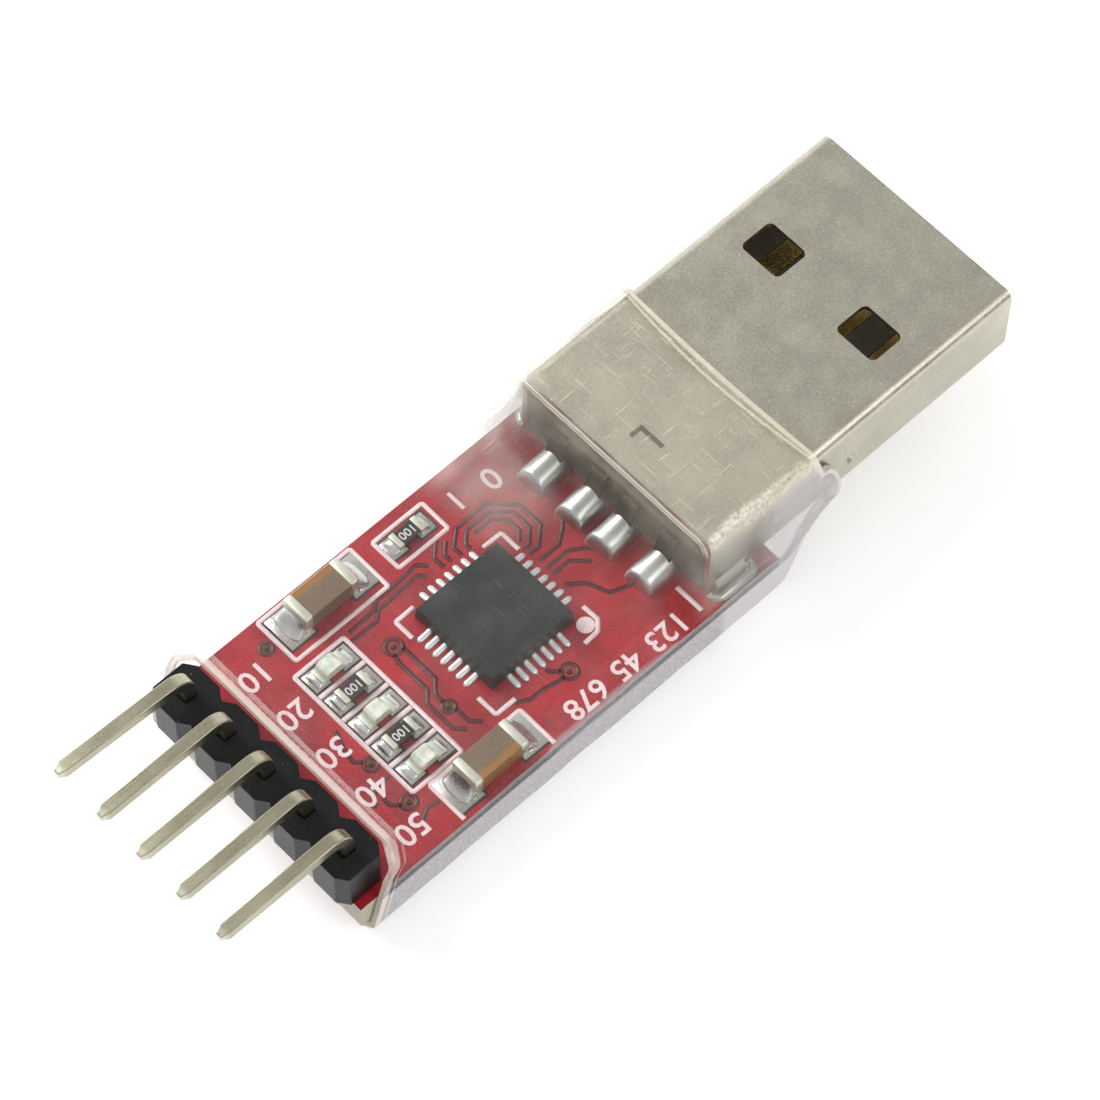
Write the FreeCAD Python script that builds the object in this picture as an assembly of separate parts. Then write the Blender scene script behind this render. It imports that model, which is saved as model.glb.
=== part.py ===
import FreeCAD, Part
import math
import os

# USB plug to serial header adapter in a clear shrink sleeve, in millimetres.
# X runs along the module, from the header pins at the low end to the plug tip at the high end.
# Y runs across the board, and Z is up, with the component side of the board on top.
# Everything is drawn about the centre of the board's top face, then moved so that the
# origin lies under the middle of the module, on the surface that the sleeve rests on.

V = FreeCAD.Vector
SQUARE = [(-1, -1), (1, -1), (1, 1), (-1, 1)]
ROUND_END_SLACK = 1e-4

# Circuit board
BOARD_LENGTH = 25.2
BOARD_BESIDE_SHELL = 0.8
BOARD_THICKNESS = 1.6
VIA_DIAMETER = 0.35
VIA_PLACES = [(-2.94, 1.64), (1.88, -4.55), (-3.18, -2.19),
              (-7.56, -1.95), (-7.6, -4.41), (-7.09, 5.41)]

# Plug shell, folded from one strip of sheet
SHELL_LENGTH = 18.95
SHELL_WIDTH = 12.0
SHELL_HEIGHT = 4.5
SHELL_WALL = 0.3
SHELL_FOLD_RADIUS = 0.55
SHELL_OVER_BOARD = 3.66
LEAD_IN_DEPTH = 0.45
LEAD_IN_WIDENING = 0.14
LEAST_INNER_RADIUS = 0.05
WINDOW_LENGTH = 1.95
WINDOW_WIDTH = 2.4
WINDOW_SPACING = 6.04
WINDOW_FROM_TIP = 5.2
WINDOW_CORNER_RADIUS = 0.3
LANCE_FROM_REAR = 1.96
LANCE_WIDTH = 1.5
LANCE_LEG = 0.65
LANCE_SLIT = 0.24
LANCE_OFFSET = -0.2
DIMPLE_FROM_TIP = 10.15
DIMPLE_HEIGHT = 1.7
DIMPLE_DIAMETER = 0.7
DIMPLE_DEPTH = 0.14
SEAM_GAP = 0.07
DOVETAIL_FROM_TIP = 8.9
DOVETAIL_LENGTH = 1.7
DOVETAIL_NECK = 1.3
DOVETAIL_HEAD = 1.9

# Shell legs, which pass through slots in the board
LEG_LENGTH = 1.8
LEG_FROM_REAR = 1.31
LEG_JOGGLE = 0.25
LEG_JOGGLE_TOP = 0.75
LEG_BEND_RADIUS = 0.12
LEG_PROTRUSION = 0.5
LEG_SLOT_CLEARANCE = 0.2

# Plug insulator, moulded in one piece with its tongue
INSULATOR_CLEARANCE = 0.05
INSULATOR_BLOCK_LENGTH = 7.9
INSULATOR_SET_IN = 0.15
TONGUE_ROOT = 1.0
TONGUE_THICKNESS = 1.84
TONGUE_SIDE_GAP = 0.15
TONGUE_SET_BACK = 0.7
TONGUE_NOSE = 0.45

# Plug contacts
CONTACT_WIDTH = 1.0
CONTACT_THICKNESS = 0.25
CONTACT_BEND_RADIUS = 0.15
CONTACT_GROOVE_CLEARANCE = 0.03
CONTACT_OUTER_Y = 3.5
CONTACT_INNER_Y = 1.0
CONTACT_OUTER_FROM_TIP = 1.6
CONTACT_INNER_FROM_TIP = 2.6
CONTACT_TAIL_LENGTH = 1.25
CONTACT_DROP_LENGTH = 0.45

# Pin header with five right angle pins
PIN_COUNT = 5
PIN_PITCH = 2.54
PIN_SIZE = 0.64
PIN_REACH = 7.08
PIN_BEND_RADIUS = 0.55
PIN_RISE = 1.55
PIN_TAIL = 0.6
PIN_TIP_LENGTH = 0.4
PIN_TIP_SIZE = 0.34
PIN_HOLE_CLEARANCE = 0.02
FIRST_PIN_SPLAY_DEGREES = 2.0
HEADER_DEPTH = 2.54
HEADER_HEIGHT = 2.5
HEADER_FROM_BOARD_END = 0.73
HEADER_CORNER_ALONG = 0.4
HEADER_CORNER_ACROSS = 0.57
BOARD_HOLE_DIAMETER = 1.0

# Bridge chip, a leadless square package
CHIP_X = 1.25
CHIP_Y = -0.4
CHIP_SIZE = 5.0
CHIP_TOP_SIZE = 4.84
CHIP_HEIGHT = 0.9
CHIP_SAW_LEDGE = 0.3
CHIP_DIMPLE_DIAMETER = 0.55
CHIP_DIMPLE_DEPTH = 0.04
CHIP_DIMPLE_INSET = 0.75
CHIP_LANDS_PER_SIDE = 7
CHIP_LAND_PITCH = 0.5
CHIP_LAND_WIDTH = 0.3
CHIP_LAND_REACH = 0.75
CHIP_LAND_THICKNESS = 0.08
CHIP_LAND_CLIMB = 0.3
CHIP_LAND_KNEE = 0.4
CHIP_LAND_KNEE_RISE = 1.6

# Two capacitors, with their long side along the board
CAPACITOR_LENGTH = 3.2
CAPACITOR_WIDTH = 1.6
CAPACITOR_HEIGHT = 1.15
CAPACITOR_END = 0.5
CAPACITOR_SKIN = 0.04
CAPACITOR_PAD_REACH = 0.75
CAPACITOR_X = -3.73
CAPACITORS_FROM_EDGE = [1.3, 1.35]

# Three resistors and three indicator lamps, with their long side along the board
CHIP_PART_LENGTH = 1.6
CHIP_PART_WIDTH = 0.82
CHIP_PART_PAD_REACH = 0.42
RESISTOR_HEIGHT = 0.45
RESISTOR_END = 0.3
RESISTOR_SKIN = 0.03
LAMP_BASE_HEIGHT = 0.22
LAMP_HEIGHT = 0.6
LAMP_END = 0.3
LAMP_LENS_LENGTH = 1.08
LAMP_LENS_ROUNDING = 0.12
LAMP_LENS_SHOULDER = 0.75
LADDER_X = -5.71
LADDER_FROM_EDGES = [4.05, 3.43]
LADDER_PARTS = 5
LONE_RESISTOR_X = 1.28
LONE_RESISTOR_FROM_EDGE = 1.46

# Solder
SOLDER_CONTACT_WIDTH = 1.75
SOLDER_CONTACT_HEIGHT = 0.78
SOLDER_CONTACT_REACH = 2.0
# Distance from the bead's end, and share of its full height, at each section of a bead
SOLDER_CONTACT_SECTIONS = [(0, 0.35), (0.3, 0.85), (0.8, 1.0), (1.7, 0.9)]
SOLDER_CONTACT_LEAST_WIDTH = 0.55
SOLDER_PIN_RADIUS = 0.8
SOLDER_PIN_TOP_RADIUS = 0.42
SOLDER_FIT_CLEARANCE = 0.01
SOLDER_RING_WIDTH = 0.3
SOLDER_RING_HEIGHT = 0.12
SOLDER_CLIMB = 0.62
SOLDER_SAG = 0.4
SOLDER_MOUND_SHARE = 0.8

# Clear shrink sleeve
SLEEVE_WALL = 0.3
SLEEVE_CLEARANCE = 0.05
SLEEVE_CORNER_RADIUS = 0.3
SLEEVE_OVER_PLUG_TOP = 6.55
SLEEVE_OVER_PLUG_BOTTOM = 8.15
SLEEVE_LIP_LENGTH = 0.9
SLEEVE_LIP_LIFT = 0.4
SLEEVE_TO_BOARD_END = 1.3
SLEEVE_DROP_LENGTH = 1.7
SLEEVE_DROP_START = 0.34
SLEEVE_HEADER_GAP = 0.25
SLEEVE_HEADER_SLOPE = 2.9
SLEEVE_BOTTOM_SHORT = 0.35
SLEEVE_END_LEAN = 0.1
SLEEVE_END_BACK_MIDDLE = 0.9
SLEEVE_END_BACK_LOW = 1.4
SLEEVE_END_MIDDLE_HEIGHT = 0.55
SLEEVE_END_LOW_DEPTH = 0.4
SLEEVE_OVERRUN = 0.5
SLEEVE_TRIM_MARGIN = 2.0
SLEEVE_CORNER_CUT = 0.25
SLEEVE_TOP_CROWN = 0.02
SLEEVE_BELOW_EDGE = 0.15
SLEEVE_UNDER_TUCK = 0.65
SLEEVE_BOARD_RISE = 0.1
SLEEVE_RISE_BEHIND_SHELL = 0.25
SLEEVE_RISE_OVER_CHIP = 0.15
SLEEVE_END_DROP = 0.2
SLEEVE_END_TURN = 0.7
SLEEVE_EDGE_SLOPE = 1.3
SLEEVE_OVER_BEADS = 0.35
SLEEVE_DROP_FOOT = 0.45
SLEEVE_FOOT_LENGTH = 1.1
SLEEVE_CAP_SHOULDER = 0.45
SLEEVE_HEADER_CORNER = 0.9
SLEEVE_HEADER_FALL = 0.6

# Sizes and places that follow from the sizes above
BOARD_WIDTH = SHELL_WIDTH + 2 * BOARD_BESIDE_SHELL
BOARD_HALF = BOARD_WIDTH / 2
TONGUE_WIDTH = SHELL_WIDTH - 2 * (SHELL_WALL + TONGUE_SIDE_GAP)
BOARD_END_X = BOARD_LENGTH / 2
SHELL_REAR_X = BOARD_END_X - SHELL_OVER_BOARD
SHELL_TIP_X = SHELL_REAR_X + SHELL_LENGTH
HEADER_X = HEADER_FROM_BOARD_END - BOARD_END_X
HEADER_REAR_X = HEADER_X + HEADER_DEPTH / 2
PIN_TIP_X = HEADER_X - PIN_REACH
PIN_CENTRE_Z = HEADER_HEIGHT + PIN_RISE
BOARD_BOTTOM_Z = -BOARD_THICKNESS
PIN_TAIL_Z = BOARD_BOTTOM_Z - PIN_TAIL
SLEEVE_INNER_BOTTOM_Z = PIN_TAIL_Z - 2 * SLEEVE_CLEARANCE
REST_Z = SLEEVE_INNER_BOTTOM_Z - SLEEVE_WALL
ORIGIN = V((SHELL_TIP_X + PIN_TIP_X) / 2, 0, REST_Z)

CAPACITOR_PLACES = [(CAPACITOR_X, BOARD_HALF - CAPACITORS_FROM_EDGE[0]),
                    (CAPACITOR_X, CAPACITORS_FROM_EDGE[1] - BOARD_HALF)]
LADDER_PITCH = (BOARD_WIDTH - sum(LADDER_FROM_EDGES)) / (LADDER_PARTS - 1)
LADDER_PLACES = [(LADDER_X, BOARD_HALF - LADDER_FROM_EDGES[0] - LADDER_PITCH * n) for n in range(LADDER_PARTS)]
LONE_RESISTOR_PLACE = (LONE_RESISTOR_X, BOARD_HALF - LONE_RESISTOR_FROM_EDGE)
SLEEVE_TOP_END_X = SHELL_REAR_X + SLEEVE_OVER_PLUG_TOP
SLEEVE_BOTTOM_END_X = SHELL_REAR_X + SLEEVE_OVER_PLUG_BOTTOM
HEADER_HALF_WIDTH = PIN_COUNT * PIN_PITCH / 2

CONTACT_YS = [CONTACT_OUTER_Y, CONTACT_INNER_Y, -CONTACT_INNER_Y, -CONTACT_OUTER_Y]
PIN_YS = [PIN_PITCH * ((PIN_COUNT - 1) / 2 - i) for i in range(PIN_COUNT)]


def block(x0, x1, y0, y1, z0, z1):
    """A box between two opposite corners."""
    return Part.makeBox(x1 - x0, y1 - y0, z1 - z0, V(x0, y0, z0))


def rounded_wire(corners, radii, lift, bulges=None):
    """A closed outline with its corners rounded. lift turns a plane point into a space point."""
    edges = []
    arcs = []
    count = len(corners)
    points = [V(a, b, 0) for a, b in corners]
    for i in range(count):
        here = points[i]
        to_last = (points[i - 1] - here).normalize()
        to_next = (points[(i + 1) % count] - here).normalize()
        half = to_last.getAngle(to_next) / 2
        setback = radii[i] / math.tan(half)
        start = here + to_last * setback
        end = here + to_next * setback
        middle = here
        if radii[i] > 0:
            inward = (to_last + to_next).normalize()
            middle = here + inward * (radii[i] / math.sin(half) - radii[i])
        arcs.append((start, middle, end))
    for i in range(count):
        start, middle, end = arcs[i]
        following = arcs[(i + 1) % count][0]
        if radii[i] > 0:
            edges.append(Part.Arc(lift(start), lift(middle), lift(end)).toShape())
        if bulges and bulges[i]:
            crown = (end + following) * 0.5 + V(0, bulges[i], 0)
            edges.append(Part.Arc(lift(end), lift(crown), lift(following)).toShape())
        elif (following - end).Length > 1e-6:
            edges.append(Part.LineSegment(lift(end), lift(following)).toShape())
    return Part.Wire(edges)


def prism_x(corners, radii, x0, x1):
    """A solid with a (y, z) outline, running along X."""
    wire = rounded_wire(corners, radii, lambda p: V(x0, p.x, p.y))
    return Part.Face(wire).extrude(V(x1 - x0, 0, 0))


def prism_y(corners, radii, y0, y1):
    """A solid with an (x, z) outline, running along Y."""
    wire = rounded_wire(corners, radii, lambda p: V(p.x, y0, p.y))
    return Part.Face(wire).extrude(V(0, y1 - y0, 0))


def prism_z(corners, radii, z0, z1):
    """A solid with an (x, y) outline, running along Z."""
    wire = rounded_wire(corners, radii, lambda p: V(p.x, p.y, z0))
    return Part.Face(wire).extrude(V(0, 0, z1 - z0))


def rectangle(a0, a1, b0, b1):
    """Corners of a rectangle, anticlockwise."""
    return [(a0, b0), (a1, b0), (a1, b1), (a0, b1)]


def strip_outline(path, thickness, bend_radius):
    """Outline of a bent strip around its centre line, with its corner radii."""
    half = thickness / 2
    points = [V(a, b, 0) for a, b in path]
    sides = {1: [], -1: []}
    radii = {1: [], -1: []}
    for i, here in enumerate(points):
        before = (here - points[i - 1]).normalize() if i > 0 else None
        after = (points[i + 1] - here).normalize() if i < len(points) - 1 else None
        first = before or after
        last = after or before
        turn = first.cross(last).z
        first_normal = V(-first.y, first.x, 0)
        last_normal = V(-last.y, last.x, 0)
        mitre = (first_normal + last_normal).normalize()
        reach = half / mitre.dot(first_normal)
        for side in (1, -1):
            corner = here + mitre * reach * side
            sides[side].append((corner.x, corner.y))
            if abs(turn) < 1e-9:
                radii[side].append(0)
            elif turn * side > 0:
                radii[side].append(bend_radius)
            else:
                radii[side].append(bend_radius + thickness)
    corners = sides[-1] + sides[1][::-1]
    return corners, radii[-1] + radii[1][::-1]


def oval(centre_x, centre_y, length, width, z0, z1):
    """An upright solid with a round ended slot as its outline."""
    corners = rectangle(centre_x - length / 2, centre_x + length / 2,
                        centre_y - width / 2, centre_y + width / 2)
    return prism_z(corners, [width / 2 - ROUND_END_SLACK] * 4, z0, z1)


def oval_mound(centre_x, centre_y, length, width, narrowing, z0, z1):
    """A tapered mound with a round ended slot as its outline."""
    wires = []
    for z, inset in ((z0, 0), (z1, narrowing)):
        half_length = length / 2 - inset
        half_width = width / 2 - inset
        corners = rectangle(centre_x - half_length, centre_x + half_length,
                            centre_y - half_width, centre_y + half_width)
        wires.append(rounded_wire(corners, [half_width - ROUND_END_SLACK] * 4, lambda p, z=z: V(p.x, p.y, z)))
    return Part.makeLoft(wires, True, True)


def leg_x():
    """Middle of the shell legs along the board."""
    return SHELL_REAR_X + LEG_FROM_REAR


def leg_y():
    """Middle of the leg's thickness where it goes through the board."""
    return SHELL_WIDTH / 2 - SHELL_WALL / 2 + LEG_JOGGLE


def leg_slot(extra, z0, z1, side):
    """The slot in the board round one leg, widened by extra."""
    length = LEG_LENGTH + 2 * LEG_SLOT_CLEARANCE + 2 * extra
    width = SHELL_WALL + 2 * LEG_SLOT_CLEARANCE + 2 * extra
    return oval(leg_x(), side * leg_y(), length, width, z0, z1)


def make_board():
    """Glass fibre board with the header holes, the leg slots and the vias."""
    board = block(-BOARD_END_X, BOARD_END_X, -BOARD_HALF, BOARD_HALF, BOARD_BOTTOM_Z, 0)
    cutters = []
    holes = [(HEADER_X, y, BOARD_HOLE_DIAMETER) for y in PIN_YS]
    holes += [(x, y, VIA_DIAMETER) for x, y in VIA_PLACES]
    for x, y, diameter in holes:
        cutters.append(Part.makeCylinder(diameter / 2, BOARD_THICKNESS, V(x, y, BOARD_BOTTOM_Z)))
    for side in (1, -1):
        cutters.append(leg_slot(0, BOARD_BOTTOM_Z, 0, side))
    return board.cut(cutters)


def shell_tube(inset, x0, x1):
    """A rounded tube section of the plug shell, inset from the outer face."""
    half = SHELL_WIDTH / 2 - inset
    corners = rectangle(-half, half, inset, SHELL_HEIGHT - inset)
    radius = max(SHELL_FOLD_RADIUS - inset, LEAST_INNER_RADIUS)
    return prism_x(corners, [radius] * 4, x0, x1)


def shell_lead_in():
    """The coined mouth of the shell, which opens slightly towards the tip."""
    wires = []
    sections = [(SHELL_TIP_X - LEAD_IN_DEPTH, SHELL_WALL), (SHELL_TIP_X, SHELL_WALL - LEAD_IN_WIDENING)]
    for x, inset in sections:
        half = SHELL_WIDTH / 2 - inset
        corners = rectangle(-half, half, inset, SHELL_HEIGHT - inset)
        radius = SHELL_FOLD_RADIUS - inset
        wires.append(rounded_wire(corners, [radius] * 4, lambda p, x=x: V(x, p.x, p.y)))
    return Part.makeLoft(wires, True, True)


def shell_windows():
    """Two latch windows through the top and the bottom of the shell."""
    far = SHELL_TIP_X - WINDOW_FROM_TIP
    cutters = []
    for side in (1, -1):
        middle = side * WINDOW_SPACING / 2
        corners = rectangle(far - WINDOW_LENGTH, far, middle - WINDOW_WIDTH / 2, middle + WINDOW_WIDTH / 2)
        for z0 in (0, SHELL_HEIGHT - SHELL_WALL):
            cutters.append(prism_z(corners, [WINDOW_CORNER_RADIUS] * 4, z0, z0 + SHELL_WALL))
    return cutters


def shell_lance():
    """The L shaped slit of the tab that keys the insulator."""
    x = SHELL_REAR_X + LANCE_FROM_REAR
    y0 = LANCE_OFFSET - LANCE_WIDTH / 2
    y1 = LANCE_OFFSET + LANCE_WIDTH / 2
    z0 = SHELL_HEIGHT - SHELL_WALL
    across = block(x - LANCE_SLIT / 2, x + LANCE_SLIT / 2, y0, y1, z0, SHELL_HEIGHT)
    along = block(x - LANCE_LEG, x + LANCE_SLIT / 2, y1 - LANCE_SLIT, y1, z0, SHELL_HEIGHT)
    return across.fuse(along)


def shell_seam():
    """The butt seam along the underside, locked by one dovetail."""
    x0 = SHELL_TIP_X - DOVETAIL_FROM_TIP
    x1 = x0 + DOVETAIL_LENGTH
    gap = SEAM_GAP
    neck = DOVETAIL_NECK / 2
    head = DOVETAIL_HEAD / 2

    def tail(grow):
        corners = [(x0 - grow, -gap / 2), (x1 + grow, -gap / 2),
                   (x1 + grow, head + grow), (x0 - grow, neck + grow)]
        mirrored = [(a, -b) for a, b in corners[::-1]]
        upper = prism_z(corners, [0] * 4, 0, SHELL_WALL)
        lower = prism_z(mirrored, [0] * 4, 0, SHELL_WALL)
        return upper.fuse(lower)

    slit_rear = block(SHELL_REAR_X, x0, -gap / 2, gap / 2, 0, SHELL_WALL)
    slit_front = block(x1, SHELL_TIP_X, -gap / 2, gap / 2, 0, SHELL_WALL)
    ring = tail(gap).cut(tail(0))
    bridge = block(x0 - 2 * gap, x0 + gap, -neck + gap, neck - gap, 0, SHELL_WALL)
    return ring.cut(bridge).fuse([slit_front, slit_rear])


def make_leg(side):
    """One leg, a strip of the side wall that is joggled outwards and goes down through the board."""
    wall = SHELL_WIDTH / 2 - SHELL_WALL / 2
    path = [(side * wall, SHELL_HEIGHT / 2), (side * wall, LEG_JOGGLE_TOP),
            (side * leg_y(), LEG_JOGGLE_TOP / 3), (side * leg_y(), BOARD_BOTTOM_Z - LEG_PROTRUSION)]
    corners, radii = strip_outline(path, SHELL_WALL, LEG_BEND_RADIUS)
    return prism_x(corners, radii, leg_x() - LEG_LENGTH / 2, leg_x() + LEG_LENGTH / 2)


def make_shell():
    """Plug shell with its windows, lance, seam, dimples and two legs."""
    shell = shell_tube(0, SHELL_REAR_X, SHELL_TIP_X)
    shell = shell.fuse([make_leg(1), make_leg(-1)])
    shell = shell.cut(shell_tube(SHELL_WALL, SHELL_REAR_X, SHELL_TIP_X))
    cutters = [shell_lead_in(), shell_lance(), shell_seam()] + shell_windows()
    for side in (1, -1):
        start = V(SHELL_TIP_X - DIMPLE_FROM_TIP, side * SHELL_WIDTH / 2, DIMPLE_HEIGHT)
        inward = V(0, -side, 0)
        cutters.append(Part.makeCone(DIMPLE_DIAMETER / 2, DIMPLE_DIAMETER / 4, DIMPLE_DEPTH, start, inward))
    return shell.cut(cutters).removeSplitter()


def tongue_top():
    """Height of the tongue's contact face."""
    return SHELL_WALL + INSULATOR_CLEARANCE + TONGUE_THICKNESS


def contact_outline(y, grow):
    """Side outline of one contact, grown on every face by grow."""
    from_tip = CONTACT_OUTER_FROM_TIP if abs(y) == CONTACT_OUTER_Y else CONTACT_INNER_FROM_TIP
    face_z = tongue_top() - CONTACT_THICKNESS / 2
    rear = SHELL_REAR_X + INSULATOR_SET_IN - CONTACT_THICKNESS
    tail_z = CONTACT_THICKNESS / 2
    path = [(SHELL_TIP_X - from_tip + grow, face_z), (rear, face_z),
            (rear - CONTACT_DROP_LENGTH, tail_z), (rear - CONTACT_DROP_LENGTH - CONTACT_TAIL_LENGTH, tail_z)]
    return strip_outline(path, CONTACT_THICKNESS + 2 * grow, CONTACT_BEND_RADIUS)


def make_contact(y):
    """One stamped contact, from its wiping face on the tongue to its tail on the board."""
    corners, radii = contact_outline(y, 0)
    return prism_y(corners, radii, y - CONTACT_WIDTH / 2, y + CONTACT_WIDTH / 2)


def make_insulator():
    """Moulded block that fills the rear of the shell, with the tongue that carries the contacts."""
    gap = SHELL_WALL + INSULATOR_CLEARANCE
    rear = SHELL_REAR_X + INSULATOR_SET_IN
    front = rear + INSULATOR_BLOCK_LENGTH
    body = shell_tube(gap, rear, front)
    tip = SHELL_TIP_X - TONGUE_SET_BACK
    root = front - TONGUE_ROOT
    corners = [(root, gap), (tip - TONGUE_NOSE, gap), (tip, gap + TONGUE_NOSE),
               (tip, tongue_top() - TONGUE_NOSE), (tip - TONGUE_NOSE, tongue_top()), (root, tongue_top())]
    tongue = prism_y(corners, [0] * len(corners), -TONGUE_WIDTH / 2, TONGUE_WIDTH / 2)
    grooves = []
    for y in CONTACT_YS:
        half = CONTACT_WIDTH / 2 + CONTACT_GROOVE_CLEARANCE
        outline, radii = contact_outline(y, CONTACT_GROOVE_CLEARANCE)
        grooves.append(prism_y(outline, radii, y - half, y + half))
    return body.fuse(tongue).cut(grooves).removeSplitter()


def header_outline():
    """Plan of the header body, an eight sided block for each pin."""
    half_depth = HEADER_DEPTH / 2
    half_pitch = PIN_PITCH / 2
    side = []
    for y in PIN_YS[::-1]:
        side.append((half_depth - HEADER_CORNER_ALONG, y - half_pitch))
        side.append((half_depth, y - half_pitch + HEADER_CORNER_ACROSS))
        side.append((half_depth, y + half_pitch - HEADER_CORNER_ACROSS))
    side.append((half_depth - HEADER_CORNER_ALONG, PIN_YS[0] + half_pitch))
    other = [(-a, b) for a, b in side[::-1]]
    return [(HEADER_X + a, b) for a, b in side + other]


def make_header():
    """Header body with a square hole for each pin."""
    corners = header_outline()
    body = prism_z(corners, [0] * len(corners), 0, HEADER_HEIGHT)
    half = PIN_SIZE / 2 + PIN_HOLE_CLEARANCE
    holes = [block(HEADER_X - half, HEADER_X + half, y - half, y + half, 0, HEADER_HEIGHT) for y in PIN_YS]
    return body.cut(holes)


def square_taper(centre, along, across, up, wide, narrow, length):
    """The pointed end of a pin: a square that narrows over a length."""
    wires = []
    for distance, size in ((0, wide), (length, narrow)):
        middle = centre + along * distance
        loop = [middle + (across * a + up * b) * (size / 2) for a, b in SQUARE]
        wires.append(Part.makePolygon(loop + loop[:1]))
    return Part.makeLoft(wires, True, True)


def make_pin(y):
    """One square pin, up through the board and the body, and bent over outwards."""
    top = V(PIN_TIP_X + PIN_TIP_LENGTH, y, PIN_CENTRE_Z)
    bottom = V(HEADER_X, y, PIN_TAIL_Z + PIN_TIP_LENGTH)
    path = [(bottom.x, bottom.z), (HEADER_X, PIN_CENTRE_Z), (top.x, top.z)]
    corners, radii = strip_outline(path, PIN_SIZE, PIN_BEND_RADIUS)
    pin = prism_y(corners, radii, y - PIN_SIZE / 2, y + PIN_SIZE / 2)
    across = V(0, 1, 0)
    tip = square_taper(top, V(-1, 0, 0), across, V(0, 0, 1), PIN_SIZE, PIN_TIP_SIZE, PIN_TIP_LENGTH)
    tail = square_taper(bottom, V(0, 0, -1), across, V(1, 0, 0), PIN_SIZE, PIN_TIP_SIZE, PIN_TIP_LENGTH)
    pin = pin.fuse([tip, tail]).removeSplitter()
    if y == PIN_YS[0]:
        pin.rotate(V(HEADER_X, y, 0), V(0, 0, 1), -FIRST_PIN_SPLAY_DEGREES)
    return pin


def make_chip():
    """Bridge chip body: a straight foot, a slight draft above it and a round mark at the first land."""
    foot = CHIP_SIZE / 2
    top = CHIP_TOP_SIZE / 2
    wires = []
    for half, z in ((foot, CHIP_SAW_LEDGE), (top, CHIP_HEIGHT)):
        loop = [V(CHIP_X + a * half, CHIP_Y + b * half, z) for a, b in SQUARE]
        wires.append(Part.makePolygon(loop + loop[:1]))
    body = block(CHIP_X - foot, CHIP_X + foot, CHIP_Y - foot, CHIP_Y + foot, 0, CHIP_SAW_LEDGE)
    body = body.fuse(Part.makeLoft(wires, True, True)).removeSplitter()
    inset = top - CHIP_DIMPLE_INSET
    mark = V(CHIP_X + inset, CHIP_Y - inset, CHIP_HEIGHT - CHIP_DIMPLE_DEPTH)
    return body.cut(Part.makeCylinder(CHIP_DIMPLE_DIAMETER / 2, CHIP_DIMPLE_DEPTH, mark))


def make_chip_joints():
    """Soldered lands round the chip, each thin outside and climbing to the chip's side."""
    edge = CHIP_SIZE / 2
    half_land = CHIP_LAND_WIDTH / 2
    outline = [(edge, 0), (edge + CHIP_LAND_REACH, 0), (edge + CHIP_LAND_REACH, CHIP_LAND_THICKNESS),
               (edge + CHIP_LAND_REACH * CHIP_LAND_KNEE, CHIP_LAND_THICKNESS * CHIP_LAND_KNEE_RISE),
               (edge, CHIP_LAND_CLIMB)]
    joints = []
    for turn in range(4):
        for i in range(CHIP_LANDS_PER_SIDE):
            offset = CHIP_LAND_PITCH * (i - (CHIP_LANDS_PER_SIDE - 1) / 2)
            land = prism_y(outline, [0] * len(outline), offset - half_land, offset + half_land)
            land.rotate(V(0, 0, 0), V(0, 0, 1), 90 * turn)
            land.translate(V(CHIP_X, CHIP_Y, 0))
            joints.append(land)
    return Part.makeCompound(joints)


def two_end_part(x, y, length, width, height, end, skin):
    """A chip part lying along X: its body, and the two plated ends that wrap round it."""
    half = length / 2
    inner_half = width / 2 - skin
    body = block(x - half + skin, x + half - skin, y - inner_half, y + inner_half, skin, height - skin)
    ends = []
    for side in (1, -1):
        inner, outer = sorted((x + side * (half - end), x + side * half))
        corners = rectangle(y - width / 2, y + width / 2, 0, height)
        cap = prism_x(corners, [skin] * 4, inner, outer)
        ends.append(cap.cut(body))
    return body, Part.makeCompound(ends)


def solder_fillets(x, y, length, width, height, reach):
    """A fillet at each end of a chip part, concave from the pad up to the plated end."""
    fillets = []
    climb = height * SOLDER_CLIMB
    for side in (1, -1):
        edge = x + side * length / 2
        toe = edge + side * reach
        foot = V(edge, y - width / 2, 0)
        top = V(edge, y - width / 2, climb)
        tip = V(toe, y - width / 2, 0)
        sag = V(edge + side * reach * SOLDER_SAG, y - width / 2, climb * SOLDER_SAG)
        edges = [Part.LineSegment(foot, top).toShape(), Part.Arc(top, sag, tip).toShape(),
                 Part.LineSegment(tip, foot).toShape()]
        fillets.append(Part.Face(Part.Wire(edges)).extrude(V(0, width, 0)))
    return fillets


def make_lamp(x, y):
    """An indicator lamp: its plate with two plated ends, and the clear block moulded on the plate."""
    plate, ends = two_end_part(x, y, CHIP_PART_LENGTH, CHIP_PART_WIDTH, LAMP_BASE_HEIGHT,
                               LAMP_END, RESISTOR_SKIN)
    half = LAMP_LENS_LENGTH / 2
    half_width = CHIP_PART_WIDTH / 2
    z0 = LAMP_BASE_HEIGHT
    shoulder = LAMP_HEIGHT * LAMP_LENS_SHOULDER
    inset = LAMP_LENS_ROUNDING
    corners = [(x - half, z0), (x + half, z0), (x + half - inset / 2, shoulder),
               (x + half - inset * 2, LAMP_HEIGHT), (x - half + inset * 2, LAMP_HEIGHT),
               (x - half + inset / 2, shoulder)]
    lens = prism_y(corners, [0, 0, inset, inset, inset, inset], y - half_width, y + half_width)
    plate_top = block(x - half, x + half, y - half_width, y + half_width,
                      LAMP_BASE_HEIGHT - RESISTOR_SKIN, LAMP_BASE_HEIGHT)
    return plate.fuse(plate_top.cut(ends)).removeSplitter(), ends, lens


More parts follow.
